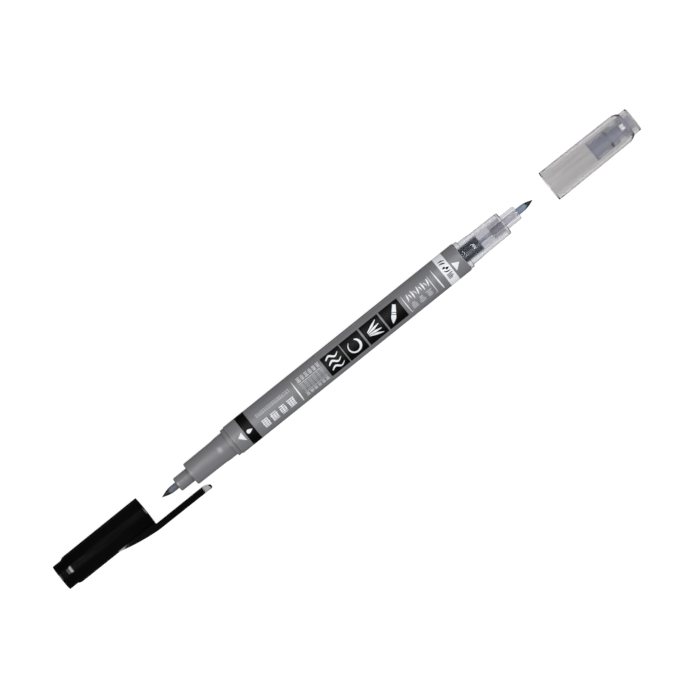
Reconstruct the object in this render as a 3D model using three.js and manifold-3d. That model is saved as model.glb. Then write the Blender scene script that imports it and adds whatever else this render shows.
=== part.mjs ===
// Double-ended calligraphy brush marker, caps pulled off along the pen's own axis.
// One brush end is opaque, the other is see-through. Each end holds its own brush nib, feed core and
// ink reservoir, and each cap holds an inner cap that seals round the nose of its end.
//
// Units are millimetres. The pen lies along X with +Z up. The origin is on the surface that the pen
// lies on, under the middle of its footprint. The opaque end points to -X and the clip is on the -Y side.
// Inside each end's own group, +X points out of the barrel, and x = 0 is the middle of the barrel.
import * as THREE from "three";
import { mergeVertices } from "three/addons/utils/BufferGeometryUtils.js";
import Module from "manifold-3d";

const wasm = await Module();
wasm.setup();

// ---- Mesh resolution ----
const SEGMENTS = 40;
const HALF_SEGMENT = Math.PI / SEGMENTS; // turns every round piece so that one of its flats faces down
const FILLET_STEPS = 2;
const CURVE_STEPS = 8;

// ---- Clearances ----
const PRESS_GAP = 0.05; // round pieces pushed into each other, on the radius
const SLIDE_GAP = 0.1; // a cap over its section, on the radius
const SEAL_GAP = 0.06; // an inner cap over its nose, on the radius
const SNAP_GAP = 0.04; // a snap bump over the section's seat, on the radius
const BUTT_GAP = 0.05; // faces that meet end to end
const ROOT_GAP = 0.3; // the flexing cut at the clip's root

// ---- Barrel ----
const BARREL_LENGTH = 92.6;
const BARREL_RADIUS = 5.2;
const BARREL_WALL = 1.0;
const BARREL_EDGE = 0.3;
const MID_WALL = 1.6;
const RIB_COUNT = 4;
const RIB_THICKNESS = 0.7;
const RIB_BITE = 0.4; // how far a rib runs into the barrel's wall

// ---- Section: the holder that is pushed into each end of the barrel ----
const FLANGE_STEP = 0.25; // the flange stands this far inside the barrel's surface
const FLANGE_WIDTH = 1.35;
const FLANGE_FILLET = 0.35;
const SECTION_LENGTH = 15.6; // flange to front face
const SEAT_DEPTH = 0.9; // how far inside the barrel's surface the stretch that the cap snaps onto lies
const SEAT_LENGTH = 2.8;
const SEAT_SLOPE = 1.4;
const SEAT_STEP = 0.18;
const GRIP_TAPER = 0.12;
const GRIP_FILLET = 0.45;
const SECTION_WALL = 0.95;
const SECTION_FRONT_WALL = 0.8;
const SPIGOT_LENGTH = 8;
const SPIGOT_CHAMFER = 0.4;
const NOSE_STEP = 0.6; // the nose is this much slimmer than the section's bore
const NOSE_LENGTH = 5.4;
const NOSE_FILLET = 0.7;
const FILLET_SHARE = 0.7; // the most of a wall that a fillet may take
const BOSS_DEPTH = 5.2; // how far the nib's tube reaches back behind the front face

// ---- Brush nib and feed core ----
const NIB_RADIUS = 1.12;
const NIB_STRAIGHT = 2.0; // exposed length before the point begins
const NIB_POINT = 4.15;
const NIB_POINT_FULLNESS = 0.86; // how full the point stays, as a share of the nib's radius
const NIB_POINT_SHOULDER = 0.42; // where along the point it is that full
const NIB_TIP_RADIUS = 0.12;
const NIB_BORE_DEPTH = 2.2; // how far the feed core runs past the nose
const FEED_RADIUS = 0.68;
const FEED_BITE = 5.2; // how far the feed core runs into the reservoir

// ---- Ink reservoir ----
const FILM_ROOM = 0.3; // between the film and the section's bore
const FILM_THICKNESS = 0.12;
const FILM_OVERHANG = 0.15; // the film stands this far past each end of the fibre
const RESERVOIR_SETBACK = 4.6; // from the reservoir's front to the nib's tube
const RESERVOIR_REAR_ROOM = 2.7; // from the reservoir's rear to the wall in the middle of the barrel
const RIB_ROOM = 0.15; // between the film and the barrel's ribs

// ---- Caps ----
const CAP_PULL = 33.8; // how far each cap stands off its seat
const CAP_LEAD_IN = 0.25;
const CAP_MOUTH_ROOM = 1.2; // the bore stays wide for this much longer than the seat and its slope
const CAP_BORE_STEP = 0.12;
const CAP_BORE_TAPER = 0.08;
const CAP_END_WALL = 0.45;
const CAP_END_FILLET = 0.2;
const FLANGE_SEAT_STEP = 0.45; // the inner cap's flange sits in a bore this much tighter than the cap's
const END_CHAMBER_STEP = 0.25; // and the end chamber is this much tighter again
const SNAP_BUMPS = 4;
const SNAP_START = 1.0;
const SNAP_LENGTH = 1.5;
const SNAP_WIDTH = 1.6;
const BLACK_CAP = { mouthWall: 0.7, bodyWall: 0.62, endWall: 0.98, endLength: 3.2, shoulder: 1.6 };
const CLEAR_CAP = { mouthWall: 0.99, bodyWall: 0.74, endWall: 0.66, endLength: 2.8, shoulder: 2.6 };

// ---- Inner caps ----
const INNER_LIP_SETBACK = 1.65; // the lip clears the section's front face by this much when the cap is on
const INNER_LIP_HEIGHT = 0.13;
const INNER_LIP_WIDTH = 1.2;
const INNER_CUP_WALL = 0.79;
const INNER_CUP_BACK = 3.05; // how far the cup runs on past the end of its sealing bore
const INNER_SEAL_ROOM = 2.5; // from the nose's end to the end of the sealing bore, cap on
const INNER_SEAL_TAPER = 1.0;
const INNER_NIB_ROOM = 0.73; // round the nib, on the radius
const INNER_NECK_WALL = 0.65;
const INNER_FLANGE_WIDTH = 2.7;
const INNER_END_WALL = 1.9;
const INNER_TAIL_RADIUS = 2.27;
const INNER_TAIL_LENGTH = 1.9;
const INNER_TAIL_ROOM = 0.25;
const NIB_TIP_ROOM = 2.4; // free space past the nib's tip, cap on

// ---- Clip ----
const CLIP_WIDTH = 3.8;
const CLIP_TIP_WIDTH = 3.2;
const CLIP_THICKNESS = 2.15; // at the root
const CLIP_TIP_THICKENING = 0.09;
const CLIP_ROOT_LENGTH = 14.6; // along the cap, behind its mouth
const CLIP_ROOT_HOLLOW = 0.47; // how far the root's curve dips inside a full one
const CLIP_ARM_LENGTH = 20.9;
const CLIP_ROOM = 0.12; // between the arm's flat inner face and the barrel, cap on
const CLIP_LEAD_IN = 3.0;
const CLIP_LEAD_BEND = 0.4; // where the lead-in bends, as a share of it from the tip
const CLIP_TIP_LIFT = 1.1;
const CLIP_NOSE_FILLET = 0.35;

// ---- Radii that follow from the sizes, from the barrel's surface inwards ----
const BARREL_BORE = BARREL_RADIUS - BARREL_WALL;
const FLANGE_RADIUS = BARREL_RADIUS - FLANGE_STEP;
const SEAT_RADIUS = BARREL_RADIUS - SEAT_DEPTH;
const GRIP_REAR_RADIUS = SEAT_RADIUS - SEAT_STEP;
const GRIP_FRONT_RADIUS = GRIP_REAR_RADIUS - GRIP_TAPER;
const SECTION_BORE = GRIP_FRONT_RADIUS - SECTION_WALL;
const FILM_RADIUS = SECTION_BORE - FILM_ROOM;
const FIBRE_RADIUS = FILM_RADIUS - FILM_THICKNESS - PRESS_GAP;
const NOSE_RADIUS = SECTION_BORE - NOSE_STEP;
const NIB_BORE = FEED_RADIUS + PRESS_GAP;
const CAP_MOUTH_BORE = SEAT_RADIUS + SLIDE_GAP;
const CAP_BORE = CAP_MOUTH_BORE - CAP_BORE_STEP;
const FLANGE_BORE = CAP_BORE - CAP_BORE_TAPER - FLANGE_SEAT_STEP;
const CHAMBER_RADIUS = FLANGE_BORE - END_CHAMBER_STEP;
const CLIP_INNER_REACH = BARREL_RADIUS + CLIP_ROOM;
const CLIP_ROOT_REACH = CLIP_INNER_REACH + CLIP_THICKNESS;
const CLIP_TIP_REACH = CLIP_ROOT_REACH + CLIP_TIP_THICKENING;

// ---- Places along the pen that follow from the sizes, measured from the middle of the barrel ----
const BARREL_END = BARREL_LENGTH / 2;
const SPIGOT_REAR = BARREL_END - SPIGOT_LENGTH;
const FLANGE_FACE = BARREL_END + BUTT_GAP + FLANGE_WIDTH;
const SECTION_FACE = FLANGE_FACE + SECTION_LENGTH;
const NOSE_FACE = SECTION_FACE + NOSE_LENGTH;
const BOSS_REAR = SECTION_FACE - BOSS_DEPTH;
const NIB_SHOULDER = NOSE_FACE + NIB_STRAIGHT;
const NIB_TIP = NIB_SHOULDER + NIB_POINT;
const RESERVOIR_FRONT = BOSS_REAR - RESERVOIR_SETBACK;
const RESERVOIR_REAR = MID_WALL / 2 + RESERVOIR_REAR_ROOM;
const CAP_SEAT = FLANGE_FACE + BUTT_GAP;
const CAP_MOUTH = CAP_SEAT + CAP_PULL;

// ---- Depths inside a cap, measured from its mouth; they follow from what they close round ----
const LIP_DEPTH = SECTION_LENGTH + INNER_LIP_SETBACK;
const SEAL_DEPTH = NOSE_FACE - CAP_SEAT + INNER_SEAL_ROOM;
const CUP_DEPTH = SEAL_DEPTH + INNER_CUP_BACK;
const NIB_ROOM_DEPTH = NIB_TIP - CAP_SEAT + NIB_TIP_ROOM;
const FLANGE_DEPTH = NIB_ROOM_DEPTH + INNER_END_WALL - INNER_FLANGE_WIDTH;
const FLANGE_END_DEPTH = FLANGE_DEPTH + INNER_FLANGE_WIDTH;
const TAIL_DEPTH = FLANGE_END_DEPTH + INNER_TAIL_LENGTH;
const CAP_LENGTH = TAIL_DEPTH + INNER_TAIL_ROOM + CAP_END_WALL;

// Lathe points from corners [x, radius, fillet]: a fillet makes its corner a curve tangent to both sides.
function outline(corners) {
  const path = new THREE.Path();
  corners.forEach(([x, radius, fillet], i) => {
    const corner = new THREE.Vector2(radius, x);
    if (i === 0) {
      path.moveTo(corner.x, corner.y);
    } else if (fillet) {
      const toward = ([otherX, otherRadius]) =>
        new THREE.Vector2(otherRadius, otherX).sub(corner).setLength(fillet).add(corner);
      const from = toward(corners[i - 1]);
      const to = toward(corners[i + 1]);
      path.lineTo(from.x, from.y);
      path.quadraticCurveTo(corner.x, corner.y, to.x, to.y);
    } else {
      path.lineTo(corner.x, corner.y);
    }
  });
  return path.getPoints(FILLET_STEPS);
}

// A piece turned round the X axis. Its points start on the axis or form a ring, material on their left.
function turned(points) {
  return new THREE.LatheGeometry(points, SEGMENTS, HALF_SEGMENT).rotateZ(-Math.PI / 2);
}

// A plate cut to an outline in the XY plane, with its thickness centred on z = 0.
function plate(shape, thickness) {
  const options = { depth: thickness, bevelEnabled: false, curveSegments: CURVE_STEPS };
  return new THREE.ExtrudeGeometry(shape, options).translate(0, 0, -thickness / 2);
}

function toSolid(geometry) {
  const bare = geometry.index ? geometry.toNonIndexed() : geometry.clone();
  bare.deleteAttribute("normal");
  bare.deleteAttribute("uv");
  const merged = mergeVertices(bare, 1e-4);
  const triVerts = new Uint32Array(merged.index.array);
  const vertProperties = merged.getAttribute("position").array;
  return new wasm.Manifold(new wasm.Mesh({ numProp: 3, vertProperties, triVerts }));
}

function toGeometry(solid) {
  const { vertProperties, triVerts } = solid.getMesh();
  return new THREE.BufferGeometry()
    .setAttribute("position", new THREE.BufferAttribute(vertProperties, 3))
    .setIndex(new THREE.BufferAttribute(triVerts, 1));
}

function material(color, roughness, metalness = 0, opacity = 1) {
  return new THREE.MeshStandardMaterial({ color, roughness, metalness, opacity, transparent: opacity < 1 });
}

const BARREL_GREY = material(0x6f6f73, 0.5);
const SECTION_GREY = material(0x76767a, 0.45);
const SMOKE_CLEAR = material(0xb9b4bf, 0.15, 0, 0.45);
const INNER_SMOKE = material(0x5f6673, 0.3, 0, 0.7);
const GLOSS_BLACK = material(0x0b0b0c, 0.25);
const INNER_BLACK = material(0x2a2a2d, 0.5);
const NIB_BLACK = material(0x1b1f2a, 0.55);
const NIB_GREY = material(0x3d4a5c, 0.55);
const BLACK_INK = material(0x0d0d12, 0.8);
const GREY_INK = material(0x1e2f45, 0.8);
const FILM = material(0xd8dde2, 0.2, 0, 0.35);

// Tube with two blind bores, a wall between the two inks, and ribs that hold each reservoir in the middle.
function barrel() {
  const half = MID_WALL / 2;
  const edge = BARREL_EDGE;
  const body = toSolid(turned(outline([
    [-half, 0], [-half, BARREL_BORE], [-BARREL_END, BARREL_BORE],
    [-BARREL_END, BARREL_RADIUS, edge], [BARREL_END, BARREL_RADIUS, edge],
    [BARREL_END, BARREL_BORE], [half, BARREL_BORE], [half, 0],
  ])));
  const inner = FILM_RADIUS + RIB_ROOM;
  const height = BARREL_BORE + RIB_BITE - inner;
  const start = half - RIB_BITE;
  const length = SPIGOT_REAR - BUTT_GAP - start;
  let solid = body;
  for (const side of [-1, 1]) {
    for (let i = 0; i < RIB_COUNT; i += 1) {
      const rib = new THREE.BoxGeometry(length, RIB_THICKNESS, height)
        .translate(side * (start + length / 2), 0, inner + height / 2)
        .rotateX((i + 0.5) * 2 * Math.PI / RIB_COUNT);
      solid = solid.add(toSolid(rib));
    }
  }
  return toGeometry(solid);
}

// Spigot, flange, cap seat, grip and nose in one moulding, with the tube for the nib inside.
function section() {
  const spigot = BARREL_BORE - PRESS_GAP;
  const flangeRear = BARREL_END + BUTT_GAP;
  const tube = NIB_RADIUS + PRESS_GAP;
  const noseFillet = Math.min(NOSE_FILLET, FILLET_SHARE * (NOSE_RADIUS - tube));
  const seatEnd = FLANGE_FACE + SEAT_LENGTH;
  const frontWall = SECTION_FACE - SECTION_FRONT_WALL;
  return turned(outline([
    [SPIGOT_REAR, SECTION_BORE],
    [SPIGOT_REAR, spigot, SPIGOT_CHAMFER], [flangeRear, spigot],
    [flangeRear, FLANGE_RADIUS, FLANGE_FILLET / 2], [FLANGE_FACE, FLANGE_RADIUS, FLANGE_FILLET],
    [FLANGE_FACE, SEAT_RADIUS], [seatEnd, SEAT_RADIUS], [seatEnd + SEAT_SLOPE, GRIP_REAR_RADIUS],
    [SECTION_FACE, GRIP_FRONT_RADIUS, GRIP_FILLET], [SECTION_FACE, NOSE_RADIUS],
    [NOSE_FACE, NOSE_RADIUS, noseFillet], [NOSE_FACE, tube], [BOSS_REAR, tube],
    [BOSS_REAR, NOSE_RADIUS], [frontWall, NOSE_RADIUS], [frontWall, SECTION_BORE],
    [SPIGOT_REAR, SECTION_BORE],
  ]));
}

// Flexible brush tip on a straight shank, with a blind bore for the feed core.
function brushNib() {
  const rear = BOSS_REAR + PRESS_GAP;
  const boreEnd = NOSE_FACE + NIB_BORE_DEPTH;
  const point = new THREE.QuadraticBezierCurve(
    new THREE.Vector2(NIB_RADIUS, NIB_SHOULDER),
    new THREE.Vector2(NIB_RADIUS * NIB_POINT_FULLNESS, NIB_SHOULDER + NIB_POINT * NIB_POINT_SHOULDER),
    new THREE.Vector2(NIB_TIP_RADIUS, NIB_TIP),
  ).getPoints(CURVE_STEPS);
  return turned([
    new THREE.Vector2(0, boreEnd), new THREE.Vector2(NIB_BORE, boreEnd), new THREE.Vector2(NIB_BORE, rear),
    new THREE.Vector2(NIB_RADIUS, rear), ...point, new THREE.Vector2(0, NIB_TIP),
  ]);
}

// Fibre rod that carries ink from the reservoir into the nib.
function feedCore() {
  const rear = RESERVOIR_FRONT - FEED_BITE;
  const front = NOSE_FACE + NIB_BORE_DEPTH - BUTT_GAP;
  return turned(outline([[rear, 0], [rear, FEED_RADIUS], [front, FEED_RADIUS], [front, 0]]));
}

// Fibre wad that holds the ink, with a bore at the front for the feed core.
function inkReservoir() {
  const rear = RESERVOIR_REAR + FILM_OVERHANG;
  const front = RESERVOIR_FRONT - FILM_OVERHANG;
  const boreEnd = RESERVOIR_FRONT - FEED_BITE - BUTT_GAP;
  return turned(outline([
    [rear, 0], [rear, FIBRE_RADIUS], [front, FIBRE_RADIUS],
    [front, NIB_BORE], [boreEnd, NIB_BORE], [boreEnd, 0],
  ]));
}

// Thin film sleeve round the fibre wad.
function reservoirFilm() {
  const inner = FILM_RADIUS - FILM_THICKNESS;
  return turned(outline([
    [RESERVOIR_REAR, inner], [RESERVOIR_REAR, FILM_RADIUS], [RESERVOIR_FRONT, FILM_RADIUS],
    [RESERVOIR_FRONT, inner], [RESERVOIR_REAR, inner],
  ]));
}

// Outer shell of a cap: stepped bore, seat for the inner cap's flange, shoulder, closed end and snap bumps
// inside its mouth. The walls' thicknesses come from the cap's own set of sizes.
function capShell({ mouthWall, bodyWall, endWall, endLength, shoulder }) {
  const at = (depth) => CAP_MOUTH + depth;
  const mouth = CAP_MOUTH_BORE + mouthWall;
  const body = CAP_MOUTH_BORE + bodyWall;
  const end = CHAMBER_RADIUS + endWall;
  const mouthDepth = SEAT_LENGTH + SEAT_SLOPE + CAP_MOUTH_ROOM;
  const flangeStop = FLANGE_END_DEPTH + BUTT_GAP;
  const shoulderEnd = CAP_LENGTH - endLength;
  const shoulderCurve = new THREE.QuadraticBezierCurve(
    new THREE.Vector2(body, at(shoulderEnd - shoulder)),
    new THREE.Vector2(body, at(shoulderEnd - shoulder / 2)),
    new THREE.Vector2(end, at(shoulderEnd)),
  ).getPoints(FILLET_STEPS * 2);
  const inside = outline([
    [at(CAP_LENGTH - CAP_END_WALL), 0], [at(CAP_LENGTH - CAP_END_WALL), CHAMBER_RADIUS],
    [at(flangeStop), CHAMBER_RADIUS], [at(flangeStop), FLANGE_BORE],
    [at(FLANGE_DEPTH), FLANGE_BORE], [at(FLANGE_DEPTH), CAP_BORE - CAP_BORE_TAPER],
    [at(mouthDepth + CAP_BORE_STEP), CAP_BORE], [at(mouthDepth), CAP_MOUTH_BORE],
    [at(CAP_LEAD_IN), CAP_MOUTH_BORE], [at(0), CAP_MOUTH_BORE + CAP_LEAD_IN],
    [at(0), mouth - CAP_END_FILLET / 2], [at(CAP_END_FILLET / 2), mouth],
  ]);
  const closedEnd = outline([
    [at(shoulderEnd), end], [at(CAP_LENGTH), end, CAP_END_FILLET], [at(CAP_LENGTH), 0],
  ]);
  const bumpInner = SEAT_RADIUS + SNAP_GAP;
  const bumpHeight = CAP_MOUTH_BORE + mouthWall / 2 - bumpInner;
  let solid = toSolid(turned([...inside, ...shoulderCurve, ...closedEnd.slice(1)]));
  for (let i = 0; i < SNAP_BUMPS; i += 1) {
    const bump = new THREE.BoxGeometry(SNAP_LENGTH, SNAP_WIDTH, bumpHeight)
      .translate(at(SNAP_START + SNAP_LENGTH / 2), 0, bumpInner + bumpHeight / 2)
      .rotateX(i * 2 * Math.PI / SNAP_BUMPS);
    solid = solid.add(toSolid(bump));
  }
  return solid;
}

// The clip's root is moulded on the cap as a fin that swells up to the arm's height at the mouth.
function blackCapShell() {
  const body = CAP_MOUTH_BORE + BLACK_CAP.bodyWall;
  const fin = new THREE.Shape();
  fin.moveTo(CAP_MOUTH, -CAP_MOUTH_BORE - BLACK_CAP.mouthWall / 2);
  fin.lineTo(CAP_MOUTH, -CLIP_ROOT_REACH);
  fin.quadraticCurveTo(
    CAP_MOUTH + CLIP_ROOT_LENGTH / 2, -CLIP_ROOT_REACH + CLIP_ROOT_HOLLOW,
    CAP_MOUTH + CLIP_ROOT_LENGTH, -body + CLIP_ROOM,
  );
  fin.closePath();
  return toGeometry(capShell(BLACK_CAP).add(toSolid(plate(fin, CLIP_WIDTH))));
}

// The free arm of the clip: it runs from the cap's mouth along the barrel and lifts at its tip.
function clipArm() {
  const root = CAP_MOUTH - ROOT_GAP;
  const tip = root - CLIP_ARM_LENGTH;
  const side = new THREE.Shape();
  side.moveTo(root, -CLIP_INNER_REACH);
  side.lineTo(root, -CLIP_ROOT_REACH);
  side.lineTo(tip + CLIP_NOSE_FILLET, -CLIP_TIP_REACH);
  side.quadraticCurveTo(tip, -CLIP_TIP_REACH, tip, -CLIP_TIP_REACH + CLIP_NOSE_FILLET);
  side.lineTo(tip, -CLIP_INNER_REACH - CLIP_TIP_LIFT);
  const flatEnd = tip + CLIP_LEAD_IN;
  const bend = tip + CLIP_LEAD_BEND * CLIP_LEAD_IN;
  side.quadraticCurveTo(bend, -CLIP_INNER_REACH, flatEnd, -CLIP_INNER_REACH);
  side.closePath();
  const halfRoot = CLIP_WIDTH / 2;
  const halfTip = CLIP_TIP_WIDTH / 2;
  const plan = new THREE.Shape();
  plan.moveTo(root, -halfRoot);
  plan.lineTo(root, halfRoot);
  plan.lineTo(tip + halfTip, halfTip);
  plan.quadraticCurveTo(tip, halfTip, tip, 0);
  plan.quadraticCurveTo(tip, -halfTip, tip + halfTip, -halfTip);
  plan.closePath();
  const deepPlan = plate(plan, 4 * CLIP_TIP_REACH).rotateX(Math.PI / 2);
  return toGeometry(toSolid(plate(side, 2 * CLIP_WIDTH)).intersect(toSolid(deepPlan)));
}

// Stepped cup that seals round the nose and gives the nib room, with a flange pushed into the shell.
function innerCap() {
  const at = (depth) => CAP_MOUTH + depth;
  const seal = NOSE_RADIUS + SEAL_GAP;
  const cup = seal + INNER_CUP_WALL;
  const lip = cup + INNER_LIP_HEIGHT;
  const nibRoom = NIB_RADIUS + INNER_NIB_ROOM;
  const neck = nibRoom + INNER_NECK_WALL;
  const flange = FLANGE_BORE - PRESS_GAP;
  return turned(outline([
    [at(NIB_ROOM_DEPTH), 0], [at(NIB_ROOM_DEPTH), nibRoom], [at(SEAL_DEPTH + INNER_SEAL_TAPER), nibRoom],
    [at(SEAL_DEPTH), seal], [at(LIP_DEPTH + CAP_LEAD_IN), seal], [at(LIP_DEPTH), seal + CAP_LEAD_IN],
    [at(LIP_DEPTH), lip], [at(LIP_DEPTH + INNER_LIP_WIDTH), lip], [at(LIP_DEPTH + INNER_LIP_WIDTH), cup],
    [at(CUP_DEPTH), cup], [at(CUP_DEPTH), neck], [at(FLANGE_DEPTH), neck],
    [at(FLANGE_DEPTH), flange], [at(FLANGE_END_DEPTH), flange], [at(FLANGE_END_DEPTH), INNER_TAIL_RADIUS],
    [at(TAIL_DEPTH), INNER_TAIL_RADIUS], [at(TAIL_DEPTH), 0],
  ]));
}

function named(name, geometry, finish) {
  const mesh = new THREE.Mesh(geometry, finish);
  mesh.name = name;
  return mesh;
}

// What both ends have, with the names and finishes of one of them.
function penEnd(prefix, sectionFinish, nibFinish, inkFinish) {
  return [
    named(prefix + "_section", section(), sectionFinish),
    named(prefix + "_brush_nib", brushNib(), nibFinish),
    named(prefix + "_feed_core", feedCore(), inkFinish),
    named(prefix + "_ink_reservoir", inkReservoir(), inkFinish),
    named(prefix + "_reservoir_film", reservoirFilm(), FILM),
  ];
}

const greyEnd = new THREE.Group();
greyEnd.add(
  ...penEnd("grey", SMOKE_CLEAR, NIB_GREY, GREY_INK),
  named("clear_cap_shell", toGeometry(capShell(CLEAR_CAP)), SMOKE_CLEAR),
  named("clear_inner_cap", innerCap(), INNER_SMOKE),
);

const blackEnd = new THREE.Group();
blackEnd.rotation.y = Math.PI;
blackEnd.add(
  ...penEnd("black", SECTION_GREY, NIB_BLACK, BLACK_INK),
  named("black_cap_shell", blackCapShell(), GLOSS_BLACK),
  named("black_clip_arm", clipArm(), GLOSS_BLACK),
  named("black_inner_cap", innerCap(), INNER_BLACK),
);

const marker = new THREE.Group();
const widest = Math.max(BARREL_RADIUS, CAP_MOUTH_BORE + Math.max(BLACK_CAP.mouthWall, CLEAR_CAP.mouthWall));
marker.position.set(0, (CLIP_TIP_REACH - widest) / 2, widest * Math.cos(HALF_SEGMENT));
marker.add(named("barrel", barrel(), BARREL_GREY), blackEnd, greyEnd);

const part = new THREE.Group();
part.add(marker);
export default part;
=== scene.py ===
"""Double-ended calligraphy marker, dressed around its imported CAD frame.

The pen lies along X with its axis level. One end is opaque and carries black ink, the other is see-through
and carries grey ink. Both caps stand off their ends in line with the barrel. Sizes are in millimetres in the
fields below and turn into metres where a mesh is built. Places come from the frame's own boxes.
"""

from __future__ import annotations

import logging
import math
from dataclasses import dataclass, field
from enum import Enum
from typing import Any, Mapping, Sequence

import bmesh
import bpy
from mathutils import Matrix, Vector


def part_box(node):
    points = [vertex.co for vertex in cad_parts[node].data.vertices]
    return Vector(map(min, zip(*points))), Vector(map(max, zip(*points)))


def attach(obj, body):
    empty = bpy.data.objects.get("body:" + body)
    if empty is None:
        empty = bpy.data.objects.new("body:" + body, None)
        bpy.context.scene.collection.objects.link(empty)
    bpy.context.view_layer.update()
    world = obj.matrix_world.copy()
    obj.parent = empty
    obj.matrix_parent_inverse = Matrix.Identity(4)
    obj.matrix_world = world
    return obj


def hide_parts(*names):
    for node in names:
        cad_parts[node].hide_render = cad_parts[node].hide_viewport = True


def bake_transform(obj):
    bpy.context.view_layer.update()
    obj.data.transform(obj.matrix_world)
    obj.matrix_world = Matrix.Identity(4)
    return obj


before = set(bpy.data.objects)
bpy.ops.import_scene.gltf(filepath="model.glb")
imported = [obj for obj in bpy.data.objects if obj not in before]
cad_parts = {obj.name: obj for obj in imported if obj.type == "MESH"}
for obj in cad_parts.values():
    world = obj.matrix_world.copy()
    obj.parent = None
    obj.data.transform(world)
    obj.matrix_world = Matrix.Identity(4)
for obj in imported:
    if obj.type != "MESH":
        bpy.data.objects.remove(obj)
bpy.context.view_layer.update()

LOG = logging.getLogger("marker")
MM = 0.001
LATHE_STEPS = 144
FILLET_STEPS = 6
GUARD = 0.07  # a straight stretch keeps its flat shading up to this far from its ends

WHITE = (1.0, 1.0, 1.0, 1.0)

Corner = tuple[float, ...]
Point = tuple[float, float]


def linear(code: str) -> tuple[float, float, float, float]:
    """Turn an sRGB hex colour into the linear colour that shaders take.

    Args:
        code: A colour such as "#70747a".

    Returns:
        Linear red, green, blue and an alpha of 1.
    """
    channels = [int(code[i : i + 2], 16) / 255 for i in (1, 3, 5)]
    curve = [c / 12.92 if c <= 0.04045 else ((c + 0.055) / 1.055) ** 2.4 for c in channels]
    return (curve[0], curve[1], curve[2], 1.0)


def add_node(
    tree: bpy.types.NodeTree,
    kind: str,
    settings: Mapping[str, Any] | None = None,
    inputs: Mapping[str | int, Any] | None = None,
) -> bpy.types.Node:
    """Add a node, set its properties, and fill or link its inputs.

    Args:
        tree: The tree that the node goes into.
        kind: The node's type, as Blender names it.
        settings: Properties of the node itself.
        inputs: A value or an output socket for each input, by the input's name or number.

    Returns:
        The new node.
    """
    node = tree.nodes.new(kind)
    for key, value in (settings or {}).items():
        setattr(node, key, value)
    for key, value in (inputs or {}).items():
        if isinstance(value, bpy.types.NodeSocket):
            tree.links.new(value, node.inputs[key])
        else:
            node.inputs[key].default_value = value
    return node


# ---------------------------------------------------------------------------------------------------------
# Where things are
# ---------------------------------------------------------------------------------------------------------


@dataclass(frozen=True)
class PenAxis:
    """The pen's axis, seen from the middle of the barrel towards one of its two ends."""

    y: float
    z: float
    way: int  # +1 towards the see-through end, -1 towards the opaque one

    def place(self, along: float, radius: float, turn: float) -> Vector:
        """Give the point at a distance along, a radius and a turn about the axis.

        Args:
            along: Millimetres from the middle of the barrel, out towards the end.
            radius: Millimetres from the axis.
            turn: Radians from straight up, growing towards the clip's side.

        Returns:
            The point in metres.
        """
        return Vector(
            (
                self.way * along * MM,
                self.y - radius * math.sin(turn) * MM,
                self.z + radius * math.cos(turn) * MM,
            )
        )

    def span(self, node: str) -> tuple[float, float]:
        """Give how far out a CAD node starts and ends along this axis, in millimetres."""
        low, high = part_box(node)
        ends = sorted((self.way * low[0] / MM, self.way * high[0] / MM))
        return ends[0], ends[1]


def pen_axis(way: int) -> PenAxis:
    """Read the axis from the barrel's box in the frame."""
    low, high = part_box("barrel")
    return PenAxis(y=(low[1] + high[1]) / 2, z=(low[2] + high[2]) / 2, way=way)


# ---------------------------------------------------------------------------------------------------------
# Meshes
# ---------------------------------------------------------------------------------------------------------


def with_guards(points: Sequence[Point], closed: bool) -> list[Point]:
    """Add a point just inside both ends of each long stretch, so that smooth shading stays flat along it."""
    guarded: list[Point] = []
    count = len(points)
    for i, here in enumerate(points):
        guarded.append(here)
        if i == count - 1 and not closed:
            break
        there = points[(i + 1) % count]
        length = math.dist(here, there)
        if length > 4 * GUARD:
            for share in (GUARD / length, 1 - GUARD / length):
                guarded.append(
                    (here[0] + (there[0] - here[0]) * share, here[1] + (there[1] - here[1]) * share)
                )
    return guarded


def rounded(corners: Sequence[Corner], closed: bool = False) -> list[Point]:
    """Turn the corners of a section into a smooth outline.

    Args:
        corners: (along, radius) or (along, radius, fillet) for each corner, in order.
        closed: Whether the outline closes on itself, or runs from the axis to the axis.

    Returns:
        The outline's points, with every filleted corner as a curve.
    """
    points: list[Point] = []
    for i, corner in enumerate(corners):
        here = Vector(corner[:2])
        if len(corner) < 3:
            points.append((here.x, here.y))
            continue
        back = Vector(corners[i - 1][:2]) - here
        ahead = Vector(corners[(i + 1) % len(corners)][:2]) - here
        reach = min(corner[2], 0.49 * back.length, 0.49 * ahead.length)
        start = here + back.normalized() * reach
        end = here + ahead.normalized() * reach
        for step in range(FILLET_STEPS + 1):
            t = step / FILLET_STEPS
            spot = start * (1 - t) ** 2 + here * 2 * t * (1 - t) + end * t**2
            points.append((spot.x, spot.y))
    return with_guards(points, closed)


def bulge(start: Point, end: Point, steps: int = 10) -> list[Point]:
    """Give the points of a convex shoulder that leaves start level and falls to end."""
    middle = (start[0] + (end[0] - start[0]) * 0.5, start[1])
    return [
        (
            start[0] * (1 - t) ** 2 + middle[0] * 2 * t * (1 - t) + end[0] * t**2,
            start[1] * (1 - t) ** 2 + middle[1] * 2 * t * (1 - t) + end[1] * t**2,
        )
        for t in (step / steps for step in range(steps + 1))
    ]


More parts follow.
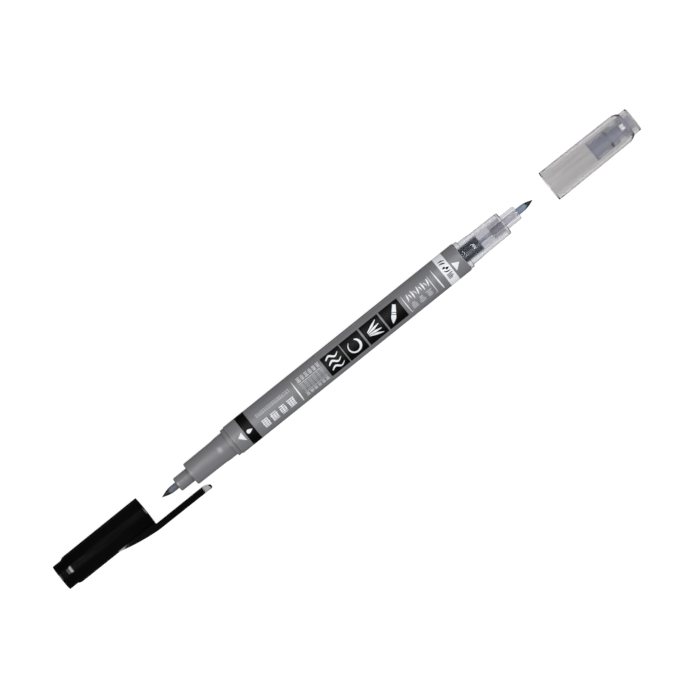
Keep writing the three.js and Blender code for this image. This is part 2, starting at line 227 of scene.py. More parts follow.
def turn_outwards(work: bmesh.types.BMesh) -> None:
    """Make the faces of every closed island point out of it, judged by the sign of its volume."""
    bmesh.ops.recalc_face_normals(work, faces=work.faces[:])
    waiting = set(work.faces)
    while waiting:
        island = [waiting.pop()]
        for face in island:
            for edge in face.edges:
                for other in edge.link_faces:
                    if other in waiting:
                        waiting.remove(other)
                        island.append(other)
        if any(len(edge.link_faces) != 2 for face in island for edge in face.edges):
            continue
        volume = 0.0
        origin = island[0].verts[0].co.copy()
        for face in island:
            spots = [vert.co - origin for vert in face.verts]
            for second, third in zip(spots[1:], spots[2:]):
                volume += spots[0].dot(second.cross(third))
        if volume < 0:
            bmesh.ops.reverse_faces(work, faces=island)


def finished_mesh(name: str, work: bmesh.types.BMesh) -> bpy.types.Object:
    """Turn a working mesh into an object at the origin, with smooth faces that point outwards.

    Args:
        name: The object's name.
        work: The mesh, which this frees.

    Returns:
        The object, linked into the scene.
    """
    turn_outwards(work)
    for face in work.faces:
        face.smooth = True
    mesh = bpy.data.meshes.new(name)
    work.to_mesh(mesh)
    work.free()
    piece = bpy.data.objects.new(name, mesh)
    bpy.context.scene.collection.objects.link(piece)
    return piece


def turned(name: str, outline: Sequence[Point], axis: PenAxis, steps: int = LATHE_STEPS) -> bpy.types.Object:
    """Turn an outline round the pen's axis.

    Args:
        name: The object's name.
        outline: (along, radius) points. It starts and ends on the axis, or else it is a ring that closes.
        axis: The axis that it is turned about.
        steps: How many facets go round.

    Returns:
        The closed piece.
    """
    work = bmesh.new()
    rings: list[list[bmesh.types.BMVert]] = []
    for along, radius in outline:
        if radius < 1e-6:
            rings.append([work.verts.new(axis.place(along, 0.0, 0.0))])
        else:
            turns = (2 * math.pi * k / steps for k in range(steps))
            rings.append([work.verts.new(axis.place(along, radius, turn)) for turn in turns])
    pairs = list(zip(rings, rings[1:]))
    if len(rings[0]) > 1:
        pairs.append((rings[-1], rings[0]))
    for first, second in pairs:
        for k in range(steps):
            after = (k + 1) % steps
            corners = [first[k % len(first)], first[after % len(first)]]
            corners += [second[after % len(second)], second[k % len(second)]]
            distinct = list(dict.fromkeys(corners))
            if len(distinct) > 2:
                work.faces.new(distinct)
    return finished_mesh(name, work)


def sharpened(piece: bpy.types.Object, degrees: float) -> bpy.types.Object:
    """Mark edges sharper than an angle, so that smooth shading stops there."""
    work = bmesh.new()
    work.from_mesh(piece.data)
    limit = math.radians(degrees)
    for edge in work.edges:
        edge.smooth = len(edge.link_faces) != 2 or edge.calc_face_angle(0.0) < limit
    work.to_mesh(piece.data)
    work.free()
    return piece


def applied(piece: bpy.types.Object, drop: Sequence[bpy.types.Object] = ()) -> bpy.types.Object:
    """Make a piece's modifiers permanent, and remove the helpers that they used.

    Args:
        piece: The piece with live modifiers.
        drop: Helper objects that are no longer needed.

    Returns:
        The same piece with a plain mesh.
    """
    bpy.context.view_layer.update()
    graph = bpy.context.evaluated_depsgraph_get()
    mesh = bpy.data.meshes.new_from_object(piece.evaluated_get(graph))
    piece.modifiers.clear()
    piece.data = mesh
    for helper in drop:
        bpy.data.objects.remove(helper)
    return piece


def joined(piece: bpy.types.Object, others: Sequence[bpy.types.Object]) -> bpy.types.Object:
    """Weld closed pieces into one skin with a boolean union.

    Args:
        piece: The piece that the others are welded to.
        others: Closed pieces that don't cut through themselves. They are used up.

    Returns:
        The welded piece.

    Raises:
        RuntimeError: If the weld lost most of the piece.
    """
    before = len(piece.data.vertices)
    for i, other in enumerate(others):
        union = piece.modifiers.new(f"weld_{i}", "BOOLEAN")
        union.operation = "UNION"
        union.solver = "MANIFOLD"
        union.object = other
    welded = applied(piece, others)
    if len(welded.data.vertices) < before / 2:
        raise RuntimeError(f"the weld lost most of {piece.name}")
    return welded


def dressed(piece: bpy.types.Object, material: bpy.types.Material) -> bpy.types.Object:
    """Give a piece its one material."""
    piece.data.materials.clear()
    piece.data.materials.append(material)
    return piece


# ---------------------------------------------------------------------------------------------------------
# Geometry Nodes
# ---------------------------------------------------------------------------------------------------------


class Socket(Enum):
    """The kinds of named input that the trees below take."""

    WHOLE = "NodeSocketInt"
    SIZE = "NodeSocketFloat"
    PLACE = "NodeSocketVector"
    MATERIAL = "NodeSocketMaterial"


def new_tree(name: str, inputs: Mapping[str, Socket]) -> tuple[bpy.types.NodeTree, bpy.types.Node]:
    """Start a geometry tree with named inputs.

    Args:
        name: The tree's name.
        inputs: The kind of each named input.

    Returns:
        The tree and its group input node.
    """
    tree = bpy.data.node_groups.new(name, "GeometryNodeTree")
    tree.interface.new_socket("Geometry", in_out="OUTPUT", socket_type="NodeSocketGeometry")
    for label, kind in inputs.items():
        tree.interface.new_socket(label, in_out="INPUT", socket_type=kind.value)
    return tree, add_node(tree, "NodeGroupInput")


def close_tree(tree: bpy.types.NodeTree, mesh: bpy.types.NodeSocket, material: bpy.types.NodeSocket) -> None:
    """End a tree with Realize Instances and Set Material."""
    real = add_node(tree, "GeometryNodeRealizeInstances", inputs={"Geometry": mesh})
    painted = add_node(
        tree, "GeometryNodeSetMaterial", inputs={"Geometry": real.outputs[0], "Material": material}
    )
    add_node(tree, "NodeGroupOutput", inputs={"Geometry": painted.outputs[0]})


def grown(name: str, tree: bpy.types.NodeTree, values: Mapping[str, Any]) -> bpy.types.Object:
    """Run a geometry tree with its inputs set, and keep the result as a plain mesh.

    Args:
        name: The new object's name.
        tree: The tree to run.
        values: A value for each named input.

    Returns:
        The object, with no modifier left on it.
    """
    piece = bpy.data.objects.new(name, bpy.data.meshes.new(name))
    bpy.context.scene.collection.objects.link(piece)
    modifier = piece.modifiers.new(name, "NODES")
    modifier.node_group = tree
    for item in tree.interface.items_tree:
        if item.in_out == "INPUT" and item.name in values:
            modifier[item.identifier] = values[item.name]
    return applied(piece)


def maths(tree: bpy.types.NodeTree, operation: str, first: Any, second: Any = 0.0) -> bpy.types.NodeSocket:
    """Give the result of one operation on two numbers or sockets."""
    return add_node(tree, "ShaderNodeMath", {"operation": operation}, {0: first, 1: second}).outputs[0]


def split_position(tree: bpy.types.NodeTree) -> bpy.types.Node:
    """Give each point's place as three separate numbers."""
    place = add_node(tree, "GeometryNodeInputPosition").outputs[0]
    return add_node(tree, "ShaderNodeSeparateXYZ", inputs={0: place})


def wrap_on_cylinder(
    tree: bpy.types.NodeTree,
    mesh: bpy.types.NodeSocket,
    radius: bpy.types.NodeSocket,
    centre: bpy.types.NodeSocket,
) -> bpy.types.NodeSocket:
    """Roll a flat layout onto a cylinder along X. Its Y becomes arc length and its Z becomes height."""
    flat = split_position(tree)
    turn = maths(tree, "DIVIDE", flat.outputs["Y"], radius)
    reach = maths(tree, "ADD", radius, flat.outputs["Z"])
    side = maths(tree, "MULTIPLY", maths(tree, "MULTIPLY", maths(tree, "SINE", turn), reach), -1.0)
    rise = maths(tree, "MULTIPLY", maths(tree, "COSINE", turn), reach)
    rolled = add_node(tree, "ShaderNodeCombineXYZ", inputs={"X": flat.outputs["X"], "Y": side, "Z": rise})
    spot = add_node(tree, "ShaderNodeVectorMath", {"operation": "ADD"}, {0: rolled.outputs[0], 1: centre})
    moved = add_node(tree, "GeometryNodeSetPosition", inputs={"Geometry": mesh, "Position": spot.outputs[0]})
    outward = add_node(tree, "GeometryNodeFlipFaces", inputs={"Mesh": moved.outputs[0]})
    return outward.outputs[0]


def printed_marks_tree() -> bpy.types.NodeTree:
    """Build the tree that prints a row of small bars of uneven length, rolled onto the barrel."""
    tree, given = new_tree(
        "printed_marks",
        {
            "Count": Socket.WHOLE,
            "Start": Socket.PLACE,
            "Step": Socket.PLACE,
            "Bar Size": Socket.PLACE,
            "Least Share": Socket.PLACE,
            "Cylinder Radius": Socket.SIZE,
            "Cylinder Centre": Socket.PLACE,
            "Seed": Socket.WHOLE,
            "Ink": Socket.MATERIAL,
        },
    )
    size = given.outputs["Bar Size"]
    row = add_node(
        tree,
        "GeometryNodeMeshLine",
        inputs={
            "Count": given.outputs["Count"],
            "Start Location": given.outputs["Start"],
            "Offset": given.outputs["Step"],
        },
    )
    bar = add_node(
        tree,
        "GeometryNodeMeshCube",
        inputs={"Size": size, "Vertices X": 2, "Vertices Y": 5, "Vertices Z": 2},
    )
    share = add_node(
        tree,
        "FunctionNodeRandomValue",
        {"data_type": "FLOAT_VECTOR"},
        {0: given.outputs["Least Share"], 1: (1.0, 1.0, 1.0), "Seed": given.outputs["Seed"]},
    )
    bars = add_node(
        tree,
        "GeometryNodeInstanceOnPoints",
        inputs={"Points": row.outputs["Mesh"], "Instance": bar.outputs["Mesh"], "Scale": share.outputs[0]},
    )
    real = add_node(tree, "GeometryNodeRealizeInstances", inputs={"Geometry": bars.outputs[0]})
    rolled = wrap_on_cylinder(
        tree, real.outputs[0], given.outputs["Cylinder Radius"], given.outputs["Cylinder Centre"]
    )
    close_tree(tree, rolled, given.outputs["Ink"])
    return tree


def lugs_tree() -> bpy.types.NodeTree:
    """Build the tree that sets equal blocks round the axis, such as ribs or snap bumps."""
    tree, given = new_tree(
        "lugs_round_axis",
        {
            "Count": Socket.WHOLE,
            "Block Size": Socket.PLACE,
            "Middle Radius": Socket.SIZE,
            "Centre": Socket.PLACE,
            "First Turn": Socket.SIZE,
            "Plastic": Socket.MATERIAL,
        },
    )
    block = add_node(tree, "GeometryNodeMeshCube", inputs={"Size": given.outputs["Block Size"]})
    lift = add_node(tree, "ShaderNodeCombineXYZ", inputs={"Z": given.outputs["Middle Radius"]})
    raised = add_node(
        tree,
        "GeometryNodeTransform",
        inputs={"Geometry": block.outputs["Mesh"], "Translation": lift.outputs[0]},
    )
    spots = add_node(
        tree,
        "GeometryNodeMeshLine",
        inputs={
            "Count": given.outputs["Count"],
            "Start Location": given.outputs["Centre"],
            "Offset": (0, 0, 0),
        },
    )
    number = add_node(tree, "GeometryNodeInputIndex")
    pitch = maths(tree, "DIVIDE", 2 * math.pi, given.outputs["Count"])
    turn = maths(tree, "ADD", maths(tree, "MULTIPLY", number.outputs[0], pitch), given.outputs["First Turn"])
    facing = add_node(tree, "ShaderNodeCombineXYZ", inputs={"X": turn})
    blocks = add_node(
        tree,
        "GeometryNodeInstanceOnPoints",
        inputs={"Points": spots.outputs[0], "Instance": raised.outputs[0], "Rotation": facing.outputs[0]},
    )
    close_tree(tree, blocks.outputs[0], given.outputs["Plastic"])
    return tree


def fibre_wad_tree() -> bpy.types.NodeTree:
    """Build the tree that shapes a reservoir's fibre wad: a closed rod whose skin follows a fluting rule."""
    tree, given = new_tree(
        "fluted_fibre_wad",
        {
            "Length": Socket.SIZE,
            "Radius": Socket.SIZE,
            "Flutes": Socket.WHOLE,
            "Flute Depth": Socket.SIZE,
            "Centre": Socket.PLACE,
            "Seed": Socket.WHOLE,
            "Fibre": Socket.MATERIAL,
        },
    )
    rod = add_node(
        tree,
        "GeometryNodeMeshCylinder",
        {"fill_type": "TRIANGLE_FAN"},
        {
            "Vertices": 192,
            "Side Segments": 60,
            "Fill Segments": 6,
            "Radius": given.outputs["Radius"],
            "Depth": given.outputs["Length"],
        },
    )
    spot = split_position(tree)
    turn = maths(tree, "ARCTAN2", spot.outputs["Y"], spot.outputs["X"])
    wave = maths(tree, "SINE", maths(tree, "MULTIPLY", turn, given.outputs["Flutes"]))
    groove = maths(tree, "POWER", maths(tree, "ABSOLUTE", wave), 3.0)
    uneven = add_node(
        tree,
        "ShaderNodeTexNoise",
        {"noise_dimensions": "4D"},
        {"W": given.outputs["Seed"], "Scale": 260.0, "Detail": 2.0},
    )
    worn = maths(tree, "MULTIPLY", groove, uneven.outputs[0])
    depth = maths(tree, "MULTIPLY", worn, given.outputs["Flute Depth"])
    share = maths(tree, "SUBTRACT", 1.0, maths(tree, "DIVIDE", depth, given.outputs["Radius"]))
    squeezed = add_node(
        tree,
        "ShaderNodeCombineXYZ",
        inputs={
            "X": spot.outputs["Z"],
            "Y": maths(tree, "MULTIPLY", spot.outputs["X"], share),
            "Z": maths(tree, "MULTIPLY", spot.outputs["Y"], share),
        },
    )
    moved = add_node(
        tree,
        "ShaderNodeVectorMath",
        {"operation": "ADD"},
        {0: squeezed.outputs[0], 1: given.outputs["Centre"]},
    )
    shaped = add_node(
        tree,
        "GeometryNodeSetPosition",
        inputs={"Geometry": rod.outputs["Mesh"], "Position": moved.outputs[0]},
    )
    close_tree(tree, shaped.outputs[0], given.outputs["Fibre"])
    return tree


def fibre_strands_tree() -> bpy.types.NodeTree:
    """Build the tree that lays a bundle of straight strands side by side, spread evenly over a disc."""
    tree, given = new_tree(
        "fibre_strands",
        {
            "Count": Socket.WHOLE,
            "Bundle Radius": Socket.SIZE,
            "Strand Radius": Socket.SIZE,
            "Length": Socket.SIZE,
            "Centre": Socket.PLACE,
            "Fibre": Socket.MATERIAL,
        },
    )
    golden_turn = math.pi * (3 - math.sqrt(5))
    number = add_node(tree, "GeometryNodeInputIndex").outputs[0]
    share = maths(tree, "SQRT", maths(tree, "DIVIDE", number, given.outputs["Count"]))
    reach = maths(tree, "MULTIPLY", share, given.outputs["Bundle Radius"])
    turn = maths(tree, "MULTIPLY", number, golden_turn)
    seat = add_node(
        tree,
        "ShaderNodeCombineXYZ",
        inputs={
            "Y": maths(tree, "MULTIPLY", reach, maths(tree, "COSINE", turn)),
            "Z": maths(tree, "MULTIPLY", reach, maths(tree, "SINE", turn)),
        },
    )
    seats = add_node(
        tree,
        "GeometryNodeMeshLine",
        inputs={
            "Count": given.outputs["Count"],
            "Start Location": given.outputs["Centre"],
            "Offset": (0, 0, 0),
        },
    )
    spread = add_node(
        tree, "GeometryNodeSetPosition", inputs={"Geometry": seats.outputs[0], "Offset": seat.outputs[0]}
    )
    strand = add_node(
        tree,
        "GeometryNodeMeshCylinder",
        inputs={"Vertices": 12, "Radius": given.outputs["Strand Radius"], "Depth": given.outputs["Length"]},
    )
    strands = add_node(
        tree,
        "GeometryNodeInstanceOnPoints",
        inputs={
            "Points": spread.outputs[0],
            "Instance": strand.outputs["Mesh"],
            "Rotation": (0.0, math.pi / 2, 0.0),
        },
    )
    close_tree(tree, strands.outputs[0], given.outputs["Fibre"])
    return tree


# ---------------------------------------------------------------------------------------------------------
# Finishes
# ---------------------------------------------------------------------------------------------------------


def new_material(name: str) -> tuple[bpy.types.Material, bpy.types.NodeTree, bpy.types.Node]:
    """Start a material, and give it with its tree and its principled shader."""
    material = bpy.data.materials.new(name)
    material.use_nodes = True
    tree = material.node_tree
    return material, tree, tree.nodes["Principled BSDF"]


def object_noise(
    tree: bpy.types.NodeTree, grain_mm: float, stretch: float = 1.0, detail: float = 3.0
) -> bpy.types.NodeSocket:
    """Give noise on Object coordinates.

    Args:
        tree: The material's tree.
        grain_mm: The size of one grain.
        stretch: How many times longer the grain is along the pen than across it.
        detail: How many finer layers the noise has.

    Returns:
        The noise's value, from 0 to 1.
    """
    where = add_node(tree, "ShaderNodeTexCoord").outputs["Object"]
    scaled = add_node(tree, "ShaderNodeMapping", inputs={"Vector": where, "Scale": (1 / stretch, 1.0, 1.0)})
    noise = add_node(
        tree,
        "ShaderNodeTexNoise",
        inputs={"Vector": scaled.outputs[0], "Scale": 1 / (grain_mm * MM), "Detail": detail},
    )
    return noise.outputs[0]


def spread(
    tree: bpy.types.NodeTree, value: bpy.types.NodeSocket, low: float, high: float
) -> bpy.types.NodeSocket:
    """Stretch the middle of a noise over a range of values."""
    return add_node(
        tree,
        "ShaderNodeMapRange",
        inputs={"Value": value, "From Min": 0.3, "From Max": 0.7, "To Min": low, "To Max": high},
    ).outputs[0]


def colour_between(
    tree: bpy.types.NodeTree, share: bpy.types.NodeSocket, first: str, second: str
) -> bpy.types.NodeSocket:
    """Mix two hex colours by a value from 0 to 1."""
    mix = add_node(
        tree,
        "ShaderNodeMix",
        {"data_type": "RGBA"},
        {0: share, 6: linear(first), 7: linear(second)},
    )
    return mix.outputs[2]


def bumped(
    tree: bpy.types.NodeTree, shader: bpy.types.Node, height: bpy.types.NodeSocket, depth_mm: float
) -> None:
    """Give a shader a fine relief."""
    bump = add_node(
        tree,
        "ShaderNodeBump",
        inputs={"Height": height, "Distance": depth_mm * MM, "Strength": 1.0},
    )
    tree.links.new(bump.outputs[0], shader.inputs["Normal"])


@dataclass(frozen=True)
class MouldedPlastic:
    """Opaque injection-moulded polypropylene.

    The mould's texture gives a fine even grain, so its shine is broad. Handling leaves faint streaks
    along it.
    """

    name: str
    colour: str
    shade: str
    roughness: float
    grain_mm: float = 0.35
    grain_depth_mm: float = 0.004

    def build(self) -> bpy.types.Material:
        """Make the material."""
        material, tree, shader = new_material(self.name)
        cloud = spread(tree, object_noise(tree, 6.0, stretch=3.0), 0.0, 1.0)
        tree.links.new(colour_between(tree, cloud, self.colour, self.shade), shader.inputs["Base Color"])
        streaks = object_noise(tree, 0.6, stretch=25.0)
        rubbed = spread(tree, streaks, self.roughness - 0.05, self.roughness + 0.05)
        tree.links.new(rubbed, shader.inputs["Roughness"])
        shader.inputs["IOR"].default_value = 1.49
        bumped(tree, shader, object_noise(tree, self.grain_mm, detail=2.0), self.grain_depth_mm)
        return material


@dataclass(frozen=True)
class GlossPlastic:
    """Polished black polypropylene: a near-mirror skin with the soft unevenness of a cooled moulding."""

    name: str
    colour: str
    shade: str
    roughness: float

    def build(self) -> bpy.types.Material:
        """Make the material."""
        material, tree, shader = new_material(self.name)
        cloud = spread(tree, object_noise(tree, 9.0, stretch=2.0), 0.0, 1.0)
        tree.links.new(colour_between(tree, cloud, self.colour, self.shade), shader.inputs["Base Color"])
        hairlines = spread(
            tree, object_noise(tree, 0.25, stretch=40.0), self.roughness * 0.8, self.roughness * 1.5
        )
        tree.links.new(hairlines, shader.inputs["Roughness"])
        shader.inputs["IOR"].default_value = 1.49
        bumped(tree, shader, object_noise(tree, 2.2, stretch=4.0, detail=1.0), 0.004)
        return material


@dataclass(frozen=True)
class SeeThroughPlastic:
    """Smoky see-through polypropylene.

    Most light passes, a little softened, and the rest scatters at the skin. Thick stretches look darker.
    """

    name: str
    colour: str
    shade: str
    roughness: float
    clearness: float
    depth_colour: str = "#ffffff"
    density: float = 0.0  # per metre of plastic

    def build(self) -> bpy.types.Material:
        """Make the material."""
        material, tree, shader = new_material(self.name)
        flow = spread(tree, object_noise(tree, 1.6, stretch=18.0), 0.0, 1.0)
        tree.links.new(colour_between(tree, flow, self.colour, self.shade), shader.inputs["Base Color"])
        shader.inputs["Transmission Weight"].default_value = self.clearness
        shader.inputs["IOR"].default_value = 1.49
        haze = spread(
            tree, object_noise(tree, 1.6, stretch=5.0), self.roughness * 0.7, self.roughness * 1.3
        )
        tree.links.new(haze, shader.inputs["Roughness"])
        bumped(tree, shader, object_noise(tree, 2.5, stretch=8.0, detail=1.0), 0.0012)
        if self.density > 0:
            depth = add_node(
                tree,
                "ShaderNodeVolumeAbsorption",
                inputs={"Color": linear(self.depth_colour), "Density": self.density},
            )
            tree.links.new(depth.outputs[0], tree.nodes["Material Output"].inputs["Volume"])
        return material


@dataclass(frozen=True)
class InkedElastomer:
    """Moulded elastomer brush tip: matte rubber, inked at its point, stained behind it, clean inside.

    The attribute from_tip holds each point's distance from the tip, in millimetres.
    """

    name: str
    ink: str
    stained: str
    clean: str
    ink_reach: float
    stain_reach: float = 6.4

    def build(self) -> bpy.types.Material:
        """Make the material."""
        material, tree, shader = new_material(self.name)
        distance = add_node(tree, "ShaderNodeAttribute", {"attribute_name": "from_tip"}).outputs["Fac"]
        creep = spread(tree, object_noise(tree, 0.7, stretch=3.0), -0.5, 0.5)
        crept = maths(tree, "ADD", distance, creep)
        beyond_ink = self.past(tree, crept, self.ink_reach)
        beyond_stain = self.past(tree, crept, self.stain_reach)
        body = colour_between(tree, beyond_stain, self.stained, self.clean)
        skin = add_node(
            tree, "ShaderNodeMix", {"data_type": "RGBA"}, {0: beyond_ink, 6: linear(self.ink), 7: body}
        )
        tree.links.new(skin.outputs[2], shader.inputs["Base Color"])
        tree.links.new(spread(tree, object_noise(tree, 0.3), 0.42, 0.58), shader.inputs["Roughness"])
        shader.inputs["Specular IOR Level"].default_value = 0.2
        shader.inputs["Subsurface Weight"].default_value = 0.1
        shader.inputs["Subsurface Radius"].default_value = (0.0004, 0.0004, 0.0005)
        bumped(tree, shader, object_noise(tree, 0.15, stretch=6.0), 0.006)
        return material

    @staticmethod
    def past(tree: bpy.types.NodeTree, distance: bpy.types.NodeSocket, reach: float) -> bpy.types.NodeSocket:
        """Rise smoothly from 0 to 1 over a millimetre about a distance from the tip."""
        rise = add_node(
            tree,
            "ShaderNodeMapRange",
            {"interpolation_type": "SMOOTHSTEP"},
            {"Value": distance, "From Min": reach - 0.5, "From Max": reach + 0.5},
        )
        return rise.outputs[0]


@dataclass(frozen=True)
class InkFibre:
    """Bundled polyester fibre soaked with ink: dark and damp, with the strands running lengthways."""

    name: str
    dark: str
    light: str

    def build(self) -> bpy.types.Material:
        """Make the material. Its strands are 0.45 mm wide, far coarser than real ones, so that they show."""
        material, tree, shader = new_material(self.name)
        strands = object_noise(tree, 0.45, stretch=30.0, detail=1.0)
        share = spread(tree, strands, 0.0, 1.0)
        tree.links.new(colour_between(tree, share, self.dark, self.light), shader.inputs["Base Color"])
        tree.links.new(spread(tree, strands, 0.45, 0.7), shader.inputs["Roughness"])
        bumped(tree, shader, strands, 0.01)
        return material


@dataclass(frozen=True)
class ScreenInk:
    """Screen-printed ink: an opaque satin film a few hundredths of a millimetre thick, slightly uneven."""

    name: str
    colour: str
    thin: str
    shine: float = 0.5

    def build(self) -> bpy.types.Material:
        """Make the material."""
        material, tree, shader = new_material(self.name)
        share = spread(tree, object_noise(tree, 0.8), 0.0, 1.0)
        tree.links.new(colour_between(tree, share, self.colour, self.thin), shader.inputs["Base Color"])
        shader.inputs["Roughness"].default_value = 0.42
        shader.inputs["Specular IOR Level"].default_value = self.shine
        bumped(tree, shader, object_noise(tree, 0.12, detail=2.0), 0.003)
        return material


@dataclass(frozen=True)
class Palette:
    """Every finish of the pen, made once."""

    barrel: bpy.types.Material
    section: bpy.types.Material
    black_cap: bpy.types.Material
    inner_black: bpy.types.Material
    smoke: bpy.types.Material
    smoke_section: bpy.types.Material
    inner_smoke: bpy.types.Material
    black_nib: bpy.types.Material
    grey_nib: bpy.types.Material
    black_fibre: bpy.types.Material
    grey_fibre: bpy.types.Material
    grey_feed: bpy.types.Material
    film: bpy.types.Material
    white_ink: bpy.types.Material
    black_ink: bpy.types.Material
    pale_ink: bpy.types.Material


def make_palette() -> Palette:
    """Build the finishes."""
    return Palette(
        barrel=MouldedPlastic("moulded_grey_polypropylene", "#77777b", "#717175", 0.38).build(),
        section=MouldedPlastic("moulded_section_polypropylene", "#757579", "#707074", 0.34).build(),
        black_cap=GlossPlastic("polished_black_polypropylene", "#020203", "#060607", 0.09).build(),
        inner_black=MouldedPlastic("moulded_black_polyethylene", "#1d1d20", "#18181b", 0.5).build(),
        smoke=SeeThroughPlastic(
            "smoky_clear_polypropylene", "#eae7eb", "#d8d8d5", 0.012, 0.94, "#8d8992", 90.0
        ).build(),
        smoke_section=SeeThroughPlastic(
            "smoky_section_polypropylene", "#eae8ee", "#dadbde", 0.01, 0.96, "#83818f", 38.0
        ).build(),
        inner_smoke=SeeThroughPlastic(
            "smoky_blue_polyethylene", "#e5e9f4", "#d9dfec", 0.012, 0.93, "#8a94ad", 40.0
        ).build(),
        black_nib=InkedElastomer("black_inked_elastomer", "#040405", "#5d6070", "#8b8c92", 3.0).build(),
        grey_nib=InkedElastomer("grey_inked_elastomer", "#07070d", "#72839a", "#f2f2f4", 2.8).build(),
        black_fibre=InkFibre("black_ink_fibre", "#08080b", "#1a1a20").build(),
        grey_fibre=InkFibre("grey_ink_fibre", "#24455f", "#3d6380").build(),
        grey_feed=InkFibre("grey_ink_feed_fibre", "#9fb1bb", "#dce4e8").build(),
        film=SeeThroughPlastic("clear_wrap_film", "#f2f6fa", "#eef3f8", 0.03, 1.0).build(),
        white_ink=ScreenInk("white_screen_ink", "#e2e4e7", "#d8dbdf").build(),
        black_ink=ScreenInk("black_screen_ink", "#030304", "#070709", 0.12).build(),
        pale_ink=ScreenInk("pale_grey_screen_ink", "#a2a4a8", "#989a9f").build(),
    )


# ---------------------------------------------------------------------------------------------------------
# Barrel and its print
# ---------------------------------------------------------------------------------------------------------


@dataclass
class Barrel:
    """The tube between the two ends, with a wall in its middle and ribs that hold the reservoirs."""

    axis: PenAxis
    palette: Palette
    radius: float = 5.2
    bore: float = 4.2
    edge: float = 0.32
    mid_wall: float = 1.6
    rib_count: int = 4
    rib_thickness: float = 0.7
    rib_inner: float = 2.9
    rib_end_room: float = 8.1

    def build(self) -> list[bpy.types.Object]:
        """Build and dress the tube with its ribs."""
        _, end = self.axis.span("barrel")
        half = self.mid_wall / 2
        outline = rounded(
            [
                (-half, 0.0),
                (-half, self.bore, 0.3),
                (-end, self.bore, 0.12),
                (-end, self.radius, self.edge),
                (end, self.radius, self.edge),
                (end, self.bore, 0.12),
                (half, self.bore, 0.3),
                (half, 0.0),
            ]
        )
        tube = turned("barrel_tube", outline, self.axis)
        length = end - self.rib_end_room - half
        height = self.bore + 0.3 - self.rib_inner
        tree = lugs_tree()
        ribs = [
            grown(
                f"{side}_barrel_ribs",
                tree,
                {
                    "Count": self.rib_count,
                    "Block Size": (length * MM, self.rib_thickness * MM, height * MM),
                    "Middle Radius": (self.rib_inner + height / 2) * MM,
                    "Centre": (way * (half + length / 2) * MM, self.axis.y, self.axis.z),
                    "First Turn": math.pi / 4,
                    "Plastic": self.palette.barrel,
                },
            )
            for side, way in (("black", -1), ("grey", 1))
        ]
        whole = dressed(sharpened(joined(tube, ribs), 40), self.palette.barrel)
        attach(whole, "pen")
        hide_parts("barrel")
        return [whole]


def stroke(spine: Sequence[Point], widths: Sequence[float], steps: int = 10) -> list[Point]:
    """Give the outline of a tapered brush stroke.

    Args:
        spine: Points that the stroke runs through, as (along, round the barrel) in millimetres.
        widths: The stroke's width at each of those points.
        steps: How many points go between one point of the spine and the next.

    Returns:
        The outline, down one side and back up the other.
    """
    ends = [spine[0], *spine, spine[-1]]
    wide = [widths[0], *widths, widths[-1]]
    middle: list[Vector] = []
    breadth: list[float] = []
    for i in range(len(spine) - 1):
        a, b, c, d = (Vector(p) for p in ends[i : i + 4])
        for step in range(steps + (i == len(spine) - 2)):
            t = step / steps
            square = (2 * a - 5 * b + 4 * c - d) * t**2
            cube = (3 * b - a - 3 * c + d) * t**3
            middle.append(0.5 * (2 * b + (c - a) * t + square + cube))
            breadth.append(wide[i + 1] * (1 - t) + wide[i + 2] * t)
    left: list[Point] = []
    right: list[Point] = []
    for i, spot in enumerate(middle):
        run = middle[min(i + 1, len(middle) - 1)] - middle[max(i - 1, 0)]
        across = Vector((-run.y, run.x)).normalized() * max(breadth[i], 0.02) / 2
        left.append((spot.x + across.x, spot.y + across.y))
        right.append((spot.x - across.x, spot.y - across.y))
    return left + right[::-1]


def oblong(low: Point, high: Point, corner: float = 0.0) -> list[Point]:
    """Give the outline of a rectangle, with round corners if corner is more than 0."""
    (x0, s0), (x1, s1) = low, high
    if corner <= 0:
        return [(x0, s0), (x1, s0), (x1, s1), (x0, s1)]
    points: list[Point] = []
    for cx, cs, start in (
        (x1 - corner, s1 - corner, 0.0),
        (x0 + corner, s1 - corner, 90.0),
        (x0 + corner, s0 + corner, 180.0),
        (x1 - corner, s0 + corner, 270.0),
    ):
        for step in range(5):
            turn = math.radians(start + 22.5 * step)
            points.append((cx + corner * math.cos(turn), cs + corner * math.sin(turn)))
    return points


def teardrop(middle: Point, length: float, width: float, way: int) -> list[Point]:
    """Give the outline of a drop of ink that points along the barrel."""
    points: list[Point] = []
    for step in range(28):
        turn = 2 * math.pi * step / 28
        narrow = math.sin(turn / 2) ** 1.4
        points.append(
            (
                middle[0] + way * length / 2 * math.cos(turn),
                middle[1] + width / 2 * math.sin(turn) * narrow * 1.25,
            )
        )
    return points


